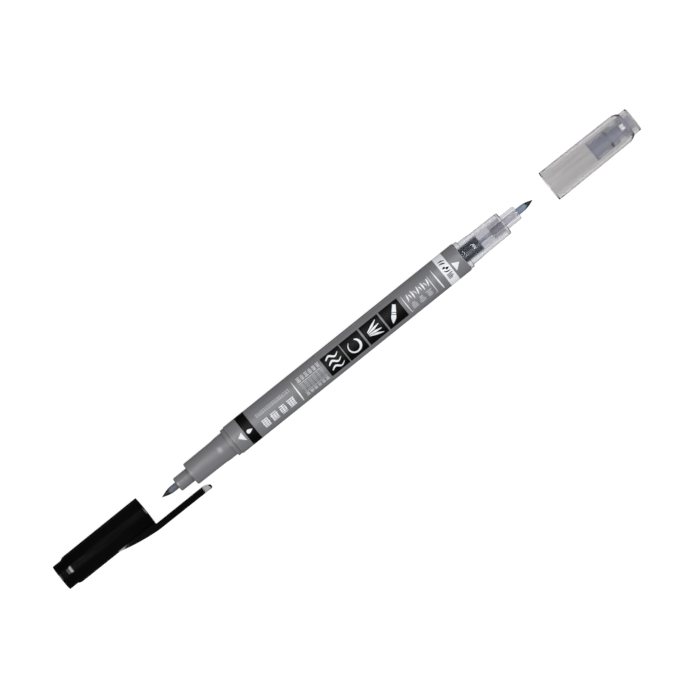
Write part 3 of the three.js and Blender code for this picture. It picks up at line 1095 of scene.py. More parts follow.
@dataclass
class BarrelPrint:
    """The barrel's printing. It is abstract: bands, arrows, squares, brush strokes and rows of plain bars.

    A place is (along, round): millimetres along the pen from the barrel's middle, and millimetres round the
    barrel from its top, growing towards the clip's side.
    """

    axis: PenAxis
    palette: Palette
    barrel_radius: float = 5.2
    ink_thickness: float = 0.025
    sink: float = 0.02
    facet: float = 0.3
    square_starts: tuple[float, ...] = (-9.06, -1.36, 6.59, 14.5)
    square_side: float = 7.33
    square_low: float = -2.93
    band_width: float = 3.42
    dash_count: int = 9
    dash_start: float = 24.6
    dash_step: float = 1.0
    dash_row: float = -0.5
    hatching: tuple[Point, ...] = ((1.55, 0.0), (2.05, 0.5), (2.55, 0.15), (3.05, 0.7))
    bars: bpy.types.NodeTree = field(default_factory=printed_marks_tree)

    def patch(
        self, name: str, outlines: Sequence[Sequence[Point]], ink: bpy.types.Material, layer: int = 0
    ) -> bpy.types.Object:
        """Print closed outlines onto the barrel as a thin solid film.

        Args:
            name: The piece's name.
            outlines: Outlines on the rolled-out barrel.
            ink: The ink that they are printed with.
            layer: 0 on the barrel itself, 1 on top of another print.

        Returns:
            The print.
        """
        work = bmesh.new()
        for outline in outlines:
            work.faces.new([work.verts.new((along, round_it, 0.0)) for along, round_it in outline])
        bmesh.ops.triangulate(work, faces=work.faces[:], ngon_method="EAR_CLIP")
        low = min(v.co.y for v in work.verts)
        high = max(v.co.y for v in work.verts)
        for cut in range(1, int((high - low) / self.facet) + 1):
            bmesh.ops.bisect_plane(
                work,
                geom=work.verts[:] + work.edges[:] + work.faces[:],
                plane_co=(0.0, low + cut * self.facet, 0.0),
                plane_no=(0.0, 1.0, 0.0),
                dist=1e-5,
            )
        base = set(work.verts)
        bmesh.ops.extrude_face_region(work, geom=work.faces[:], use_keep_orig=True)
        top = self.barrel_radius + self.ink_thickness * (layer + 1)
        bottom = self.barrel_radius - self.sink + self.ink_thickness * layer
        for vert in work.verts:
            radius = bottom if vert in base else top
            vert.co = self.axis.place(vert.co.x, radius, vert.co.y / self.barrel_radius)
        piece = dressed(finished_mesh(name, work), ink)
        return self.printed(sharpened(piece, 50))

    def ring(self, name: str, start: float, ink: bpy.types.Material) -> bpy.types.Object:
        """Print a band all the way round."""
        inner = self.barrel_radius - self.sink
        outer = self.barrel_radius + self.ink_thickness
        end = start + self.band_width
        outline = [(start, inner), (start, outer), (end, outer), (end, inner)]
        return self.printed(sharpened(dressed(turned(name, outline, self.axis), ink), 50))

    def row(
        self,
        name: str,
        start: Point,
        count: int,
        step: float,
        bar: Point,
        seed: int,
        ink: bpy.types.Material,
        least: Point = (0.5, 0.8),
    ) -> bpy.types.Object:
        """Print a row of plain bars.

        Args:
            name: The piece's name.
            start: The middle of the first bar.
            count: How many bars there are.
            step: From one bar to the next, along the barrel.
            bar: The longest bar's length and height.
            seed: Fixes the uneven sizes.
            ink: The ink.
            least: The smallest bar's share of the longest one, along and round.

        Returns:
            The row.
        """
        depth = self.ink_thickness + self.sink
        height = (self.ink_thickness - self.sink) / 2
        piece = grown(
            name,
            self.bars,
            {
                "Count": count,
                "Start": (start[0] * MM, start[1] * MM, height * MM),
                "Step": (step * MM, 0.0, 0.0),
                "Bar Size": (bar[0] * MM, bar[1] * MM, depth * MM),
                "Least Share": (least[0], least[1], 1.0),
                "Cylinder Radius": self.barrel_radius * MM,
                "Cylinder Centre": (0.0, self.axis.y, self.axis.z),
                "Seed": seed,
                "Ink": ink,
            },
        )
        return self.printed(piece)

    def printed(self, piece: bpy.types.Object) -> bpy.types.Object:
        """Fix a print to the pen."""
        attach(piece, "pen")
        return piece

    def arrows(self) -> bpy.types.Object:
        """Print the arrow near each end, pointing at its cap."""
        outlines = [
            [(-44.5, 0.7), (-42.65, -0.35), (-42.5, 2.9)],
            [(44.55, 0.7), (42.3, 2.6), (42.2, -0.5)],
        ]
        return self.patch("print_arrows", outlines, self.palette.white_ink)

    def band_marks(self) -> list[bpy.types.Object]:
        """Print a drop on the black band, and loose strokes, drops and hatching on the white one."""
        drop = self.patch(
            "print_black_band_drop",
            [teardrop((-40.05, 0.9), 2.2, 1.5, 1)],
            self.palette.white_ink,
            layer=1,
        )
        bold = [
            stroke([(38.85, -3.35), (40.0, -3.2), (41.0, -2.75)], [0.2, 0.5, 0.12]),
            stroke([(38.8, -2.45), (39.8, -2.25), (40.7, -1.75)], [0.12, 0.5, 0.2]),
            teardrop((39.35, -0.75), 1.2, 0.8, -1),
            teardrop((40.45, -0.15), 1.3, 0.85, 1),
            stroke([(38.8, 0.15), (39.7, 0.75), (40.9, 0.85)], [0.15, 0.45, 0.12]),
            *(oblong((38.85, low), (40.95 - trim, low + 0.26)) for low, trim in self.hatching),
        ]
        return [drop, self.patch("print_white_band_strokes", bold, self.palette.black_ink, layer=1)]

    def dividers(self) -> bpy.types.Object:
        """Print the thin tapered strokes and brackets that part one block from the next."""
        outlines = [
            stroke([(-20.5, -3.1), (-20.62, 1.6), (-20.75, 4.9)], [0.08, 0.55, 0.2]),
            stroke([(35.6, -3.0), (35.72, 1.8), (35.85, 4.9)], [0.08, 0.55, 0.25]),
            stroke([(23.15, -2.3), (23.15, 1.5), (23.2, 4.1)], [0.1, 0.3, 0.14]),
            stroke([(23.1, 4.1), (23.85, 4.15)], [0.16, 0.12]),
            stroke([(33.5, -2.2), (33.5, 1.5), (33.5, 4.2)], [0.1, 0.26, 0.14]),
            stroke([(33.55, 4.2), (32.8, 4.25)], [0.16, 0.12]),
        ]
        return self.patch("print_dividers", outlines, self.palette.white_ink)

    def squares(self) -> bpy.types.Object:
        """Print the four black squares."""
        outlines = [
            oblong((x, self.square_low), (x + self.square_side, self.square_low + self.square_side), 0.12)
            for x in self.square_starts
        ]
        return self.patch("print_squares", outlines, self.palette.black_ink)

    def square_strokes(self) -> bpy.types.Object:
        """Print loose strokes in the first three squares: waves, an open ring and a fan."""
        middle = self.square_low + self.square_side / 2
        first, second, third = (x + self.square_side / 2 for x in self.square_starts[:3])
        waves = [
            stroke(
                [(first - 2.4, middle + shift), (first - 0.8, middle + shift - 0.7),
                 (first + 0.8, middle + shift + 0.5), (first + 2.4, middle + shift - 0.2)],
                [0.3, 0.7, 0.55, 0.12],
            )
            for shift in (-1.9, 0.0, 1.9)
        ]
        turns = [math.radians(-60 + 30 * step) for step in range(11)]
        ring = stroke(
            [(second + 2.1 * math.cos(turn), middle + 2.1 * math.sin(turn)) for turn in turns],
            [0.25, 0.7, 0.85, 0.8, 0.7, 0.6, 0.55, 0.45, 0.4, 0.3, 0.12],
            steps=4,
        )
        fan = [
            stroke(
                [(third - 2.3, middle + 0.3 * lean), (third + 0.1, middle + 0.75 * lean),
                 (third + 2.4 - 0.12 * abs(lean), middle + 1.25 * lean)],
                [0.2, 0.75, 0.14],
            )
            for lean in (-2.0, -0.7, 0.7, 2.0)
        ]
        return self.patch("print_square_strokes", [*waves, ring, *fan], self.palette.white_ink, layer=1)

    def brush_picture(self) -> bpy.types.Object:
        """Print a plain brush in the last square: handle, ferrule and pointed tuft."""
        x = self.square_starts[3] + self.square_side / 2
        s = self.square_low + self.square_side / 2
        run = Vector((0.63, -0.78)).normalized()
        side = Vector((-run.y, run.x))

        def spot(along: float, across: float) -> Point:
            """Give a point in the brush's own directions."""
            where = Vector((x, s)) + run * along + side * across
            return (where.x, where.y)

        steps = 8
        swell = [
            (-3.1 + 2.9 * step / steps, 0.8 * math.sin(math.pi * 0.62 * step / steps))
            for step in range(1, steps + 1)
        ]
        tuft = [spot(-3.1, 0.0)]
        tuft += [spot(along, across) for along, across in swell]
        tuft += [spot(along, -across) for along, across in reversed(swell)]
        outlines = [
            tuft,
            [spot(0.0, 0.72), spot(0.5, 0.72), spot(0.5, -0.72), spot(0.0, -0.72)],
            [spot(0.7, 0.7), spot(3.1, 0.55), spot(3.1, -0.55), spot(0.7, -0.7)],
        ]
        return self.patch("print_brush_picture", outlines, self.palette.white_ink, layer=1)

    def block(
        self,
        name: str,
        starts: Sequence[Point],
        count: int,
        step: float,
        bar: Point,
        seed: int,
        ink: bpy.types.Material,
        least: Point = (0.5, 0.8),
    ) -> list[bpy.types.Object]:
        """Print rows of plain bars that belong together.

        Args:
            name: The rows' name, before their number.
            starts: The middle of each row's first bar.
            count: How many bars a row has.
            step: From one bar to the next, along the barrel.
            bar: The longest bar's length and height.
            seed: Fixes the first row's uneven sizes; each further row counts on from it.
            ink: The ink.
            least: The smallest bar's share of the longest one, along and round.

        Returns:
            The rows.
        """
        return [
            self.row(f"{name}_{number}", start, count, step, bar, seed + number, ink, least)
            for number, start in enumerate(starts)
        ]

    def rows(self) -> list[bpy.types.Object]:
        """Print the blocks of plain bars that stand where a pen of this kind carries its wording."""
        white, pale = self.palette.white_ink, self.palette.pale_ink

        def column(along: float, *heights: float) -> list[Point]:
            """Give the starts of rows that stand one above the other."""
            return [(along, height) for height in heights]

        small = column(-35.6, -1.85, -1.35, -0.9)
        uprights = [(-35.2 + 3.4 * number, 2.35) for number in range(4)]
        bold = column(-34.3, 1.05, 1.7, 2.35, 3.0, 3.65)
        top = column(-18.3, -2.7, -2.25, -1.8, -1.35)
        middle = column(-18.3, -0.1, 0.45, 1.0, 1.55, 2.1)
        low = column(-18.3, 3.2, 3.65, 4.1)
        right = column(25.3, 1.75, 2.35, 2.95, 3.55)
        return [
            *self.block("print_small_row", small, 17, 0.8, (0.62, 0.16), 21, white),
            *self.block("print_bold_row", bold, 4, 3.4, (2.8, 0.36), 31, white, (0.7, 0.8)),
            *self.block("print_bold_upright", uprights, 3, 0.9, (0.36, 2.9), 41, white, (0.8, 0.5)),
            *self.block("print_block_top", top, 6, 1.55, (1.3, 0.2), 51, white, (0.6, 0.8)),
            *self.block("print_block_middle", middle, 6, 1.55, (1.2, 0.22), 61, pale, (0.6, 0.8)),
            *self.block("print_block_low", low, 6, 1.55, (1.3, 0.2), 71, white, (0.6, 0.8)),
            *self.block("print_right_low", right, 3, 3.0, (2.3, 0.2), 91, white, (0.45, 0.8)),
            self.row("print_fine_line", (-8.9, -5.58), 40, 0.78, (0.6, 0.3), 101, pale, (0.5, 0.7)),
        ]

    def dashes(self) -> bpy.types.Object:
        """Print the right block's row of leaning tapered dashes."""
        shapes = ((-0.55, 1.25, 0.5), (0.3, 0.8, 0.34), (0.05, 1.45, 0.56), (0.6, 0.7, 0.3))
        outlines = []
        for number in range(self.dash_count):
            lean, reach, width = shapes[number % len(shapes)]
            x, y = self.dash_start + self.dash_step * number, self.dash_row
            spine = [(x - lean / 2, y - reach), (x + 0.12, y), (x + lean / 2, y + reach)]
            outlines.append(stroke(spine, [0.14, width, 0.1]))
        return self.patch("print_dashes", outlines, self.palette.white_ink)

    def rules(self) -> bpy.types.Object:
        """Print the two fine rules of the left block."""
        outlines = [
            stroke([(-18.9, -0.63), (-9.9, -0.63)], [0.1, 0.1]),
            stroke([(-18.9, 2.63), (-9.9, 2.63)], [0.1, 0.1]),
        ]
        return self.patch("print_rules", outlines, self.palette.white_ink)

    def build(self) -> list[bpy.types.Object]:
        """Print everything."""
        return [
            self.ring("print_black_band", -41.76, self.palette.black_ink),
            self.ring("print_white_band", 38.1, self.palette.white_ink),
            self.arrows(),
            *self.band_marks(),
            self.dividers(),
            self.squares(),
            self.square_strokes(),
            self.brush_picture(),
            self.rules(),
            self.dashes(),
            *self.rows(),
        ]


# ---------------------------------------------------------------------------------------------------------
# The two ends
# ---------------------------------------------------------------------------------------------------------


@dataclass
class PenEnd:
    """One end of the pen: section, brush nib, feed core and ink reservoir in its film."""

    prefix: str
    axis: PenAxis
    palette: Palette
    section_finish: bpy.types.Material
    nib_finish: bpy.types.Material
    fibre_finish: bpy.types.Material
    feed_finish: bpy.types.Material
    section_slot: str
    nib_slot: str
    fibre_slot: str
    flange_radius: float = 4.95
    flange_width: float = 1.35
    spigot_radius: float = 4.15
    bore: float = 3.05
    seat_radius: float = 4.3
    seat_length: float = 2.8
    seat_slope: float = 1.4
    grip_rear: float = 4.12
    grip_front: float = 4.0
    front_wall: float = 0.8
    nose_radius: float = 2.45
    nose_length: float = 5.4
    boss_depth: float = 5.2
    tube_radius: float = 1.17
    nib_radius: float = 1.12
    nib_straight: float = 2.0
    nib_tip: float = 0.1
    feed_radius: float = 0.68
    film_radius: float = 2.75
    film_thickness: float = 0.12

    def build(self) -> list[bpy.types.Object]:
        """Build and dress everything at this end."""
        return [self.section(), self.nib(), self.feed_core(), self.reservoir(), self.film()]

    def finish(self, piece: bpy.types.Object, node: str) -> bpy.types.Object:
        """Fix a piece to the pen in place of its CAD node."""
        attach(piece, "pen")
        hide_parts(f"{self.prefix}_{node}")
        return piece

    def section(self) -> bpy.types.Object:
        """Turn the section: spigot, flange, cap seat, grip, nose and the tube for the nib."""
        rear, nose = self.axis.span(f"{self.prefix}_section")
        front = nose - self.nose_length
        boss = front - self.boss_depth
        barrel_end = self.axis.span("barrel")[1] + 0.05
        face = barrel_end + self.flange_width
        seat_end = face + self.seat_length
        inner_front = front - self.front_wall
        outline = rounded(
            [
                (rear, self.bore, 0.1),
                (rear, self.spigot_radius, 0.4),
                (barrel_end, self.spigot_radius, 0.08),
                (barrel_end, self.flange_radius, 0.15),
                (face, self.flange_radius, 0.42),
                (face, self.seat_radius, 0.12),
                (seat_end, self.seat_radius, 0.5),
                (seat_end + self.seat_slope, self.grip_rear, 0.5),
                (front, self.grip_front, 0.5),
                (front, self.nose_radius, 0.15),
                (nose, self.nose_radius, 0.75),
                (nose, self.tube_radius, 0.12),
                (boss, self.tube_radius, 0.12),
                (boss, self.nose_radius, 0.3),
                (inner_front, self.nose_radius, 0.25),
                (inner_front, self.bore, 0.25),
            ],
            closed=True,
        )
        piece = dressed(turned(f"{self.prefix}_section_moulding", outline, self.axis), self.section_finish)
        return self.finish(piece, "section")

    def nib(self) -> bpy.types.Object:
        """Turn the brush nib, with a bore for the feed core, and note each point's distance from its tip."""
        rear, tip = self.axis.span(f"{self.prefix}_brush_nib")
        feed_end = self.axis.span(f"{self.prefix}_feed_core")[1]
        nose = self.axis.span(f"{self.prefix}_section")[1]
        shoulder = nose + self.nib_straight
        length = tip - shoulder
        gap = 0.05  # round the feed core and in front of it
        bore, bottom = self.feed_radius + gap, feed_end + gap
        outline = rounded([(bottom, 0.0), (bottom, bore), (rear, bore), (rear, self.nib_radius, 0.15)])
        steps = 26
        for step in range(steps + 1):
            t = step / steps
            fullness = (1 - t**1.75) ** 1.12
            radius = self.nib_tip + (self.nib_radius - self.nib_tip) * fullness
            outline.append((shoulder + (length - self.nib_tip) * t, radius))
        for step in range(1, 5):
            turn = math.pi / 2 * step / 4
            radius = self.nib_tip * math.cos(turn) if step < 4 else 0.0
            outline.append((tip - self.nib_tip + self.nib_tip * math.sin(turn), radius))
        piece = dressed(turned(f"{self.prefix}_nib", outline, self.axis, steps=64), self.nib_finish)
        distance = piece.data.attributes.new("from_tip", "FLOAT", "POINT")
        for vertex, value in zip(piece.data.vertices, distance.data):
            value.value = tip - self.axis.way * vertex.co.x / MM
        return self.finish(piece, "brush_nib")

    def feed_core(self) -> bpy.types.Object:
        """Lay the feed core's strands side by side."""
        rear, front = self.axis.span(f"{self.prefix}_feed_core")
        strand = 0.13
        piece = grown(
            f"{self.prefix}_feed_strands",
            fibre_strands_tree(),
            {
                "Count": 30,
                "Bundle Radius": (self.feed_radius - strand) * MM,
                "Strand Radius": strand * MM,
                "Length": (front - rear) * MM,
                "Centre": (self.axis.way * (rear + front) / 2 * MM, self.axis.y, self.axis.z),
                "Fibre": self.feed_finish,
            },
        )
        return self.finish(sharpened(piece, 50), "feed_core")

    def reservoir(self) -> bpy.types.Object:
        """Shape the reservoir's fibre wad with its flutes."""
        rear, front = self.axis.span(f"{self.prefix}_ink_reservoir")
        radius = self.film_radius - self.film_thickness - 0.04
        piece = grown(
            f"{self.prefix}_fibre_wad",
            fibre_wad_tree(),
            {
                "Length": (front - rear) * MM,
                "Radius": radius * MM,
                "Flutes": 14,
                "Flute Depth": 0.35 * MM,
                "Centre": (self.axis.way * (rear + front) / 2 * MM, self.axis.y, self.axis.z),
                "Seed": 5,
                "Fibre": self.fibre_finish,
            },
        )
        return self.finish(sharpened(piece, 60), "ink_reservoir")

    def film(self) -> bpy.types.Object:
        """Turn the clear film round the wad."""
        rear, front = self.axis.span(f"{self.prefix}_reservoir_film")
        inner = self.film_radius - self.film_thickness
        outline = rounded(
            [(rear, inner), (rear, self.film_radius, 0.04), (front, self.film_radius, 0.04), (front, inner)],
            closed=True,
        )
        piece = dressed(turned(f"{self.prefix}_film_sleeve", outline, self.axis), self.palette.film)
        return self.finish(piece, "reservoir_film")


# ---------------------------------------------------------------------------------------------------------
# Caps
# ---------------------------------------------------------------------------------------------------------


@dataclass
class Cap:
    """A push-on cap: outer shell with snap bumps, and the inner cap that seals round the nose."""

    prefix: str
    axis: PenAxis
    palette: Palette
    shell_finish: bpy.types.Material
    inner_finish: bpy.types.Material
    shell_slot: str
    inner_slot: str
    mouth_radius: float
    body_radius: float
    end_radius: float
    end_length: float
    shoulder: float
    mouth_bore: float = 4.4
    mouth_depth: float = 5.4
    mouth_taper: float = 1.6
    bore: float = 4.28
    deep_bore: float = 4.2
    flange_bore: float = 3.75
    chamber: float = 3.5
    end_wall: float = 0.45
    snap_count: int = 4
    snap_start: float = 1.0
    snap_length: float = 1.5
    snap_width: float = 1.6
    snap_height: float = 0.2
    lip_radius: float = 3.43
    lip_width: float = 1.2
    cup_radius: float = 3.3
    cup_length: float = 9.25
    seal_radius: float = 2.51
    seal_length: float = 6.15
    nib_room: float = 1.85
    nib_room_length: float = 12.25
    neck_radius: float = 2.5
    flange_radius: float = 3.7
    flange_start: float = 11.45
    flange_width: float = 2.7
    tail_radius: float = 2.27

    def build(self) -> list[bpy.types.Object]:
        """Build and dress the whole cap."""
        return [self.shell(), self.inner_cap()]

    def shell_skin(self) -> bpy.types.Object:
        """Turn the shell and weld its snap bumps on."""
        mouth, end = self.axis.span(f"{self.prefix}_cap_shell")
        inner_rear = self.axis.span(f"{self.prefix}_inner_cap")[0] + self.flange_start
        flange_stop = inner_rear + self.flange_width + 0.05
        shoulder_end = end - self.end_length
        inside = rounded(
            [
                (end - self.end_wall, 0.0),
                (end - self.end_wall, self.chamber, 0.3),
                (flange_stop, self.chamber),
                (flange_stop, self.flange_bore),
                (inner_rear, self.flange_bore),
                (inner_rear, self.deep_bore),
                (mouth + self.mouth_depth + self.mouth_taper, self.bore, 0.6),
                (mouth + self.mouth_depth, self.mouth_bore, 0.6),
                (mouth + 0.25, self.mouth_bore, 0.15),
                (mouth, self.mouth_bore + 0.22, 0.08),
                (mouth, self.mouth_radius, 0.2),
                (shoulder_end - self.shoulder - 0.1, self.body_radius),
            ]
        )
        curve = bulge((shoulder_end - self.shoulder, self.body_radius), (shoulder_end, self.end_radius))
        outside = rounded([(shoulder_end + 0.02, self.end_radius), (end, self.end_radius, 0.3), (end, 0.0)])
        skin = turned(f"{self.prefix}_cap_skin", inside + curve[1:] + outside[1:], self.axis)
        height = self.snap_height
        bumps = grown(
            f"{self.prefix}_snap_bumps",
            lugs_tree(),
            {
                "Count": self.snap_count,
                "Block Size": (self.snap_length * MM, self.snap_width * MM, height * MM),
                "Middle Radius": (self.mouth_bore - 0.06 + height / 2) * MM,
                "Centre": (
                    self.axis.way * (mouth + self.snap_start + self.snap_length / 2) * MM,
                    self.axis.y,
                    self.axis.z,
                ),
                "First Turn": 0.0,
                "Plastic": self.shell_finish,
            },
        )
        return joined(skin, [bumps])

    def shell(self) -> bpy.types.Object:
        """Dress the shell and fix it to the cap's body."""
        piece = dressed(sharpened(self.shell_skin(), 35), self.shell_finish)
        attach(piece, f"{self.prefix}_cap")
        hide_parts(f"{self.prefix}_cap_shell")
        return piece

    def inner_cap(self) -> bpy.types.Object:
        """Turn the inner cap: lip, cup, neck, flange and tail."""
        lip, tail = self.axis.span(f"{self.prefix}_inner_cap")
        seal_end = lip + self.seal_length
        cup_end = lip + self.cup_length
        flange = lip + self.flange_start
        flange_end = flange + self.flange_width
        outline = rounded(
            [
                (lip + self.nib_room_length, 0.0),
                (lip + self.nib_room_length, self.nib_room, 0.4),
                (seal_end + 1.0, self.nib_room, 0.3),
                (seal_end, self.seal_radius, 0.3),
                (lip + 0.25, self.seal_radius, 0.1),
                (lip, self.seal_radius + 0.25, 0.05),
                (lip, self.lip_radius, 0.12),
                (lip + self.lip_width, self.lip_radius, 0.06),
                (lip + self.lip_width, self.cup_radius, 0.04),
                (cup_end, self.cup_radius, 0.2),
                (cup_end, self.neck_radius, 0.2),
                (flange, self.neck_radius, 0.2),
                (flange, self.flange_radius, 0.1),
                (flange_end, self.flange_radius, 0.1),
                (flange_end, self.tail_radius, 0.2),
                (tail, self.tail_radius, 0.2),
                (tail, 0.0),
            ]
        )
        piece = dressed(turned(f"{self.prefix}_inner_cup", outline, self.axis), self.inner_finish)
        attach(piece, f"{self.prefix}_cap")
        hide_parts(f"{self.prefix}_inner_cap")
        return piece


@dataclass
class ClippedCap(Cap):
    """The black cap, whose clip is moulded in one with its shell."""

    clip_width: float = 3.8
    clip_tip_width: float = 3.1
    clip_inner: float = 5.32
    clip_outer: float = 7.47
    clip_tip_outer: float = 7.55
    clip_root_length: float = 14.6
    clip_root_hollow: float = 0.47
    clip_edge: float = 0.28
    clip_lead_in: float = 2.8
    clip_tip_lift: float = 1.1
    clip_chamfer_length: float = 3.4
    clip_chamfer_slope: float = 0.215
    clip_point_length: float = 1.1
    clip_point_slope: float = 0.4
    flex_length: float = 2.6

    def clip(self) -> bpy.types.Object:
        """Build the clip as one bar: its root swells out of the cap and its arm runs on past the mouth."""
        mouth, _ = self.axis.span("black_cap_shell")
        tip, _ = self.axis.span("black_clip_arm")
        buried = self.mouth_bore + 0.3
        profile: list[Point] = [(mouth, buried)]
        lead = 8
        profile.append((mouth - 0.02, self.clip_inner - 0.1))
        start = mouth - 0.12
        flat = start - tip - self.clip_lead_in
        for i in range(8):
            profile.append((start - flat * i / 7, self.clip_inner))
        for step in range(1, lead + 1):
            t = step / lead
            profile.append((tip + self.clip_lead_in * (1 - t), self.clip_inner + self.clip_tip_lift * t**2))
        corner = 0.45  # rounds the tip's outer edge
        nose = self.clip_tip_outer - corner
        for step in range(5):
            turn = math.pi / 2 * step / 4
            profile.append((tip + corner - corner * math.cos(turn), nose + corner * math.sin(turn)))
        thickening = self.clip_outer - self.clip_tip_outer
        for i in range(1, 8):
            t = i / 7
            profile.append(
                (tip + corner + (mouth - tip - corner) * t, self.clip_tip_outer + thickening * t)
            )
        swell = 14
        foot = self.body_radius - 0.12
        for step in range(1, swell + 1):
            t = step / swell
            along = mouth + self.clip_root_length * t
            reach = (
                self.clip_outer * (1 - t) ** 2
                + (self.clip_outer - self.clip_root_hollow) * 2 * t * (1 - t)
                + foot * t**2
            )
            profile.append((along, reach))
        profile.append((mouth + self.clip_root_length, buried))
        work = bmesh.new()
        rings: list[list[bmesh.types.BMVert]] = []
        halves = 9
        for side in range(halves):
            share = 2 * side / (halves - 1) - 1
            ring: list[bmesh.types.BMVert] = []
            for along, reach in profile:
                taper = min(1.0, max(0.0, (mouth - along) / (mouth - tip)))
                half = (self.clip_width * (1 - taper) + self.clip_tip_width * taper) / 2
                half -= self.clip_chamfer_slope * max(0.0, tip + self.clip_chamfer_length - along)
                half -= self.clip_point_slope * max(0.0, tip + self.clip_point_length - along)
                spot = self.axis.place(along, reach, math.pi / 2)
                spot.z += half * share * MM
                ring.append(work.verts.new(spot))
            rings.append(ring)
        count = len(profile)
        for first, second in zip(rings, rings[1:]):
            for k in range(count):
                after = (k + 1) % count
                work.faces.new([first[k], first[after], second[after], second[k]])
        # the tip's chamfer leaves both sides out of plane, so as single faces they would cut through the bar
        sides = [work.faces.new(rings[0][::-1]), work.faces.new(rings[-1])]
        bmesh.ops.triangulate(work, faces=sides, ngon_method="BEAUTY")
        bar = finished_mesh("clip_bar", work)
        bevel = bar.modifiers.new("soft_edges", "BEVEL")
        bevel.width = self.clip_edge * MM
        bevel.segments = 4
        bevel.limit_method = "ANGLE"
        bevel.angle_limit = math.radians(50)
        return applied(bar)

    def shell(self) -> bpy.types.Object:
        """Weld the clip to the shell."""
        mouth, _ = self.axis.span("black_cap_shell")
        piece = joined(self.shell_skin(), [self.clip()])
        piece.name = "black_cap_with_clip"
        dressed(sharpened(piece, 35), self.shell_finish)
        self.axis.place(mouth, self.clip_inner, math.pi / 2)
        self.axis.place(mouth - self.flex_length, self.clip_inner, math.pi / 2)
        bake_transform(piece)
        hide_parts("black_cap_shell", "black_clip_arm")
        return piece


# ---------------------------------------------------------------------------------------------------------
# Studio
# ---------------------------------------------------------------------------------------------------------


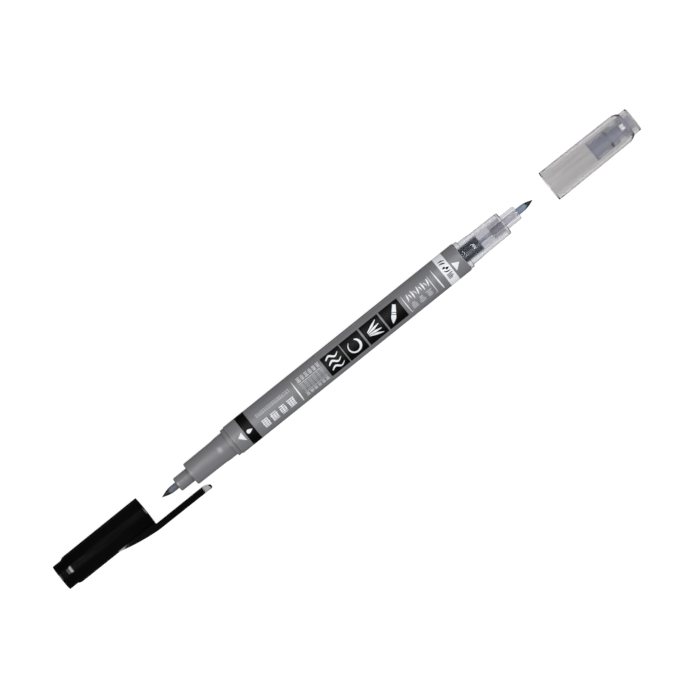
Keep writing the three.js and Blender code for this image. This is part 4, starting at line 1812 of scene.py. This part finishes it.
@dataclass
class Studio:
    """White table, soft light and a camera that looks straight down with the pen on the slant."""

    axis: PenAxis
    camera_distance: float = 2.0
    view_width: float = 0.2206
    slant: float = 38.76
    aim: Point = (0.385, 0.205)
    floor_size: float = 4.0
    floor_glow: float = 0.86
    glow_above: float = 0.8
    floor_drop: float = 0.03
    glow_below: float = 0.58
    mirrored_glow: float = 0.035
    key_power: float = 3.0
    shine_power: float = 14.0

    def build(self) -> None:
        """Set up the table, the lights and the camera."""
        self.table()
        self.surroundings()
        self.lights()
        self.camera()

    def table(self) -> None:
        """Lay a matte white table under the pen."""
        work = bmesh.new()
        half = self.floor_size / 2
        corners = [(-half, -half), (half, -half), (half, half), (-half, half)]
        work.faces.new([work.verts.new((x, y, -self.floor_drop * MM)) for x, y in corners])
        floor = finished_mesh("white_table", work)
        material, _, shader = new_material("matte_white_laminate")
        shader.inputs["Base Color"].default_value = linear("#8a8a8a")
        shader.inputs["Roughness"].default_value = 0.9
        shader.inputs["Specular IOR Level"].default_value = 0.1
        shader.inputs["Emission Color"].default_value = WHITE
        shader.inputs["Emission Strength"].default_value = self.floor_glow
        dressed(floor, material)
        floor.visible_glossy = False
        floor.visible_diffuse = False

    def surroundings(self) -> None:
        """Light the room softly from above, and keep it dark where plastic mirrors or bends it."""
        world = bpy.data.worlds.new("soft_room")
        bpy.context.scene.world = world
        world.use_nodes = True
        tree = world.node_tree
        way = add_node(tree, "ShaderNodeTexCoord").outputs["Generated"]
        height = add_node(tree, "ShaderNodeSeparateXYZ", inputs={0: way})
        glow = add_node(
            tree,
            "ShaderNodeMapRange",
            inputs={
                "Value": height.outputs["Z"],
                "From Min": -0.5,
                "From Max": 0.5,
                "To Min": self.glow_below,
                "To Max": self.glow_above,
            },
        )
        ray = add_node(tree, "ShaderNodeLightPath")
        indirect = maths(tree, "MAXIMUM", ray.outputs["Is Glossy Ray"], ray.outputs["Is Transmission Ray"])
        scattered = maths(tree, "MINIMUM", ray.outputs["Diffuse Depth"], 1.0)
        seen = maths(tree, "MULTIPLY", indirect, maths(tree, "SUBTRACT", 1.0, scattered))
        room, dark = (
            add_node(tree, "ShaderNodeBackground", inputs={"Color": WHITE, "Strength": strength}).outputs[0]
            for strength in (glow.outputs[0], self.mirrored_glow)
        )
        both = add_node(tree, "ShaderNodeMixShader", inputs={0: seen, 1: room, 2: dark})
        tree.links.new(both.outputs[0], tree.nodes["World Output"].inputs["Surface"])

    def soft_box(
        self, name: str, where: Vector, size: tuple[float, float], power: float
    ) -> bpy.types.Object:
        """Hang a rectangular light that faces the pen.

        Args:
            name: The light's name.
            where: Its middle, in metres.
            size: Its two sides, in metres.
            power: Its power in watts.

        Returns:
            The light.
        """
        light = bpy.data.lights.new(name, "AREA")
        light.shape = "RECTANGLE"
        light.size, light.size_y = size
        light.energy = power
        lamp = bpy.data.objects.new(name, light)
        lamp.location = where
        aim = Vector((0.0, self.axis.y, self.axis.z)) - where
        lamp.rotation_euler = aim.to_track_quat("-Z", "Y").to_euler()
        bpy.context.scene.collection.objects.link(lamp)
        return lamp

    def lights(self) -> None:
        """Hang one broad key light, and a bright box beyond each end for the highlights of the shoulders."""
        self.soft_box("key", Vector((0.0, -0.24, 0.8)), (1.2, 0.7), self.key_power).visible_glossy = False
        for name, way in (("left_shine", -1), ("right_shine", 1)):
            box = self.soft_box(name, Vector((way * 0.56, 0.09, 0.7)), (0.7, 0.66), self.shine_power)
            box.rotation_euler = (0.0, 0.0, 0.0)
            box.visible_diffuse = False
            box.visible_transmission = False

    def camera(self) -> None:
        """Hang the camera over the pen, rolled so that the see-through end rises to the right."""
        data = bpy.data.cameras.new("camera")
        data.sensor_width = 36.0
        data.lens = 36.0 * self.camera_distance / self.view_width
        data.clip_end = 10.0
        camera = bpy.data.objects.new("camera", data)
        camera.location = (self.aim[0] * MM, self.aim[1] * MM, self.axis.z + self.camera_distance)
        camera.rotation_euler = (0.0, 0.0, -math.radians(self.slant))
        bpy.context.scene.collection.objects.link(camera)
        bpy.context.scene.camera = camera


def main() -> None:
    """Build every part of the pen in order, and report each piece."""
    logging.basicConfig(level=logging.INFO, format="%(name)s: %(message)s")
    palette = make_palette()
    black, grey = pen_axis(-1), pen_axis(1)
    parts: list[Any] = [
        Barrel(grey, palette),
        BarrelPrint(grey, palette),
        PenEnd(
            "black", black, palette, palette.section, palette.black_nib,
            palette.black_fibre, palette.black_fibre,
            "section_plastic", "black_nib_elastomer", "black_ink_fibre",
        ),
        PenEnd(
            "grey", grey, palette, palette.smoke_section, palette.grey_nib,
            palette.grey_fibre, palette.grey_feed,
            "clear_plastic", "grey_nib_elastomer", "grey_ink_fibre",
        ),
        ClippedCap(
            "black", black, palette, palette.black_cap, palette.inner_black,
            "black_plastic", "black_inner_plastic",
            mouth_radius=5.1, body_radius=5.02, end_radius=4.48, end_length=3.2, shoulder=1.6,
        ),
        Cap(
            "clear", grey, palette, palette.smoke, palette.inner_smoke,
            "clear_plastic", "smoke_inner_plastic",
            mouth_radius=5.37, body_radius=5.14, end_radius=4.16, end_length=2.8, shoulder=2.6,
        ),
    ]
    for part in parts:
        for piece in part.build():
            LOG.info("%s: %s, %d faces", type(part).__name__, piece.name, len(piece.data.polygons))
    Studio(grey).build()
    scene = bpy.context.scene
    scene.view_settings.view_transform = "Standard"
    scene.cycles.max_bounces = 24
    scene.cycles.transmission_bounces = 24
    scene.cycles.caustics_reflective = False
    scene.cycles.sample_clamp_indirect = 2.0


if __name__ == "__main__":
    main()
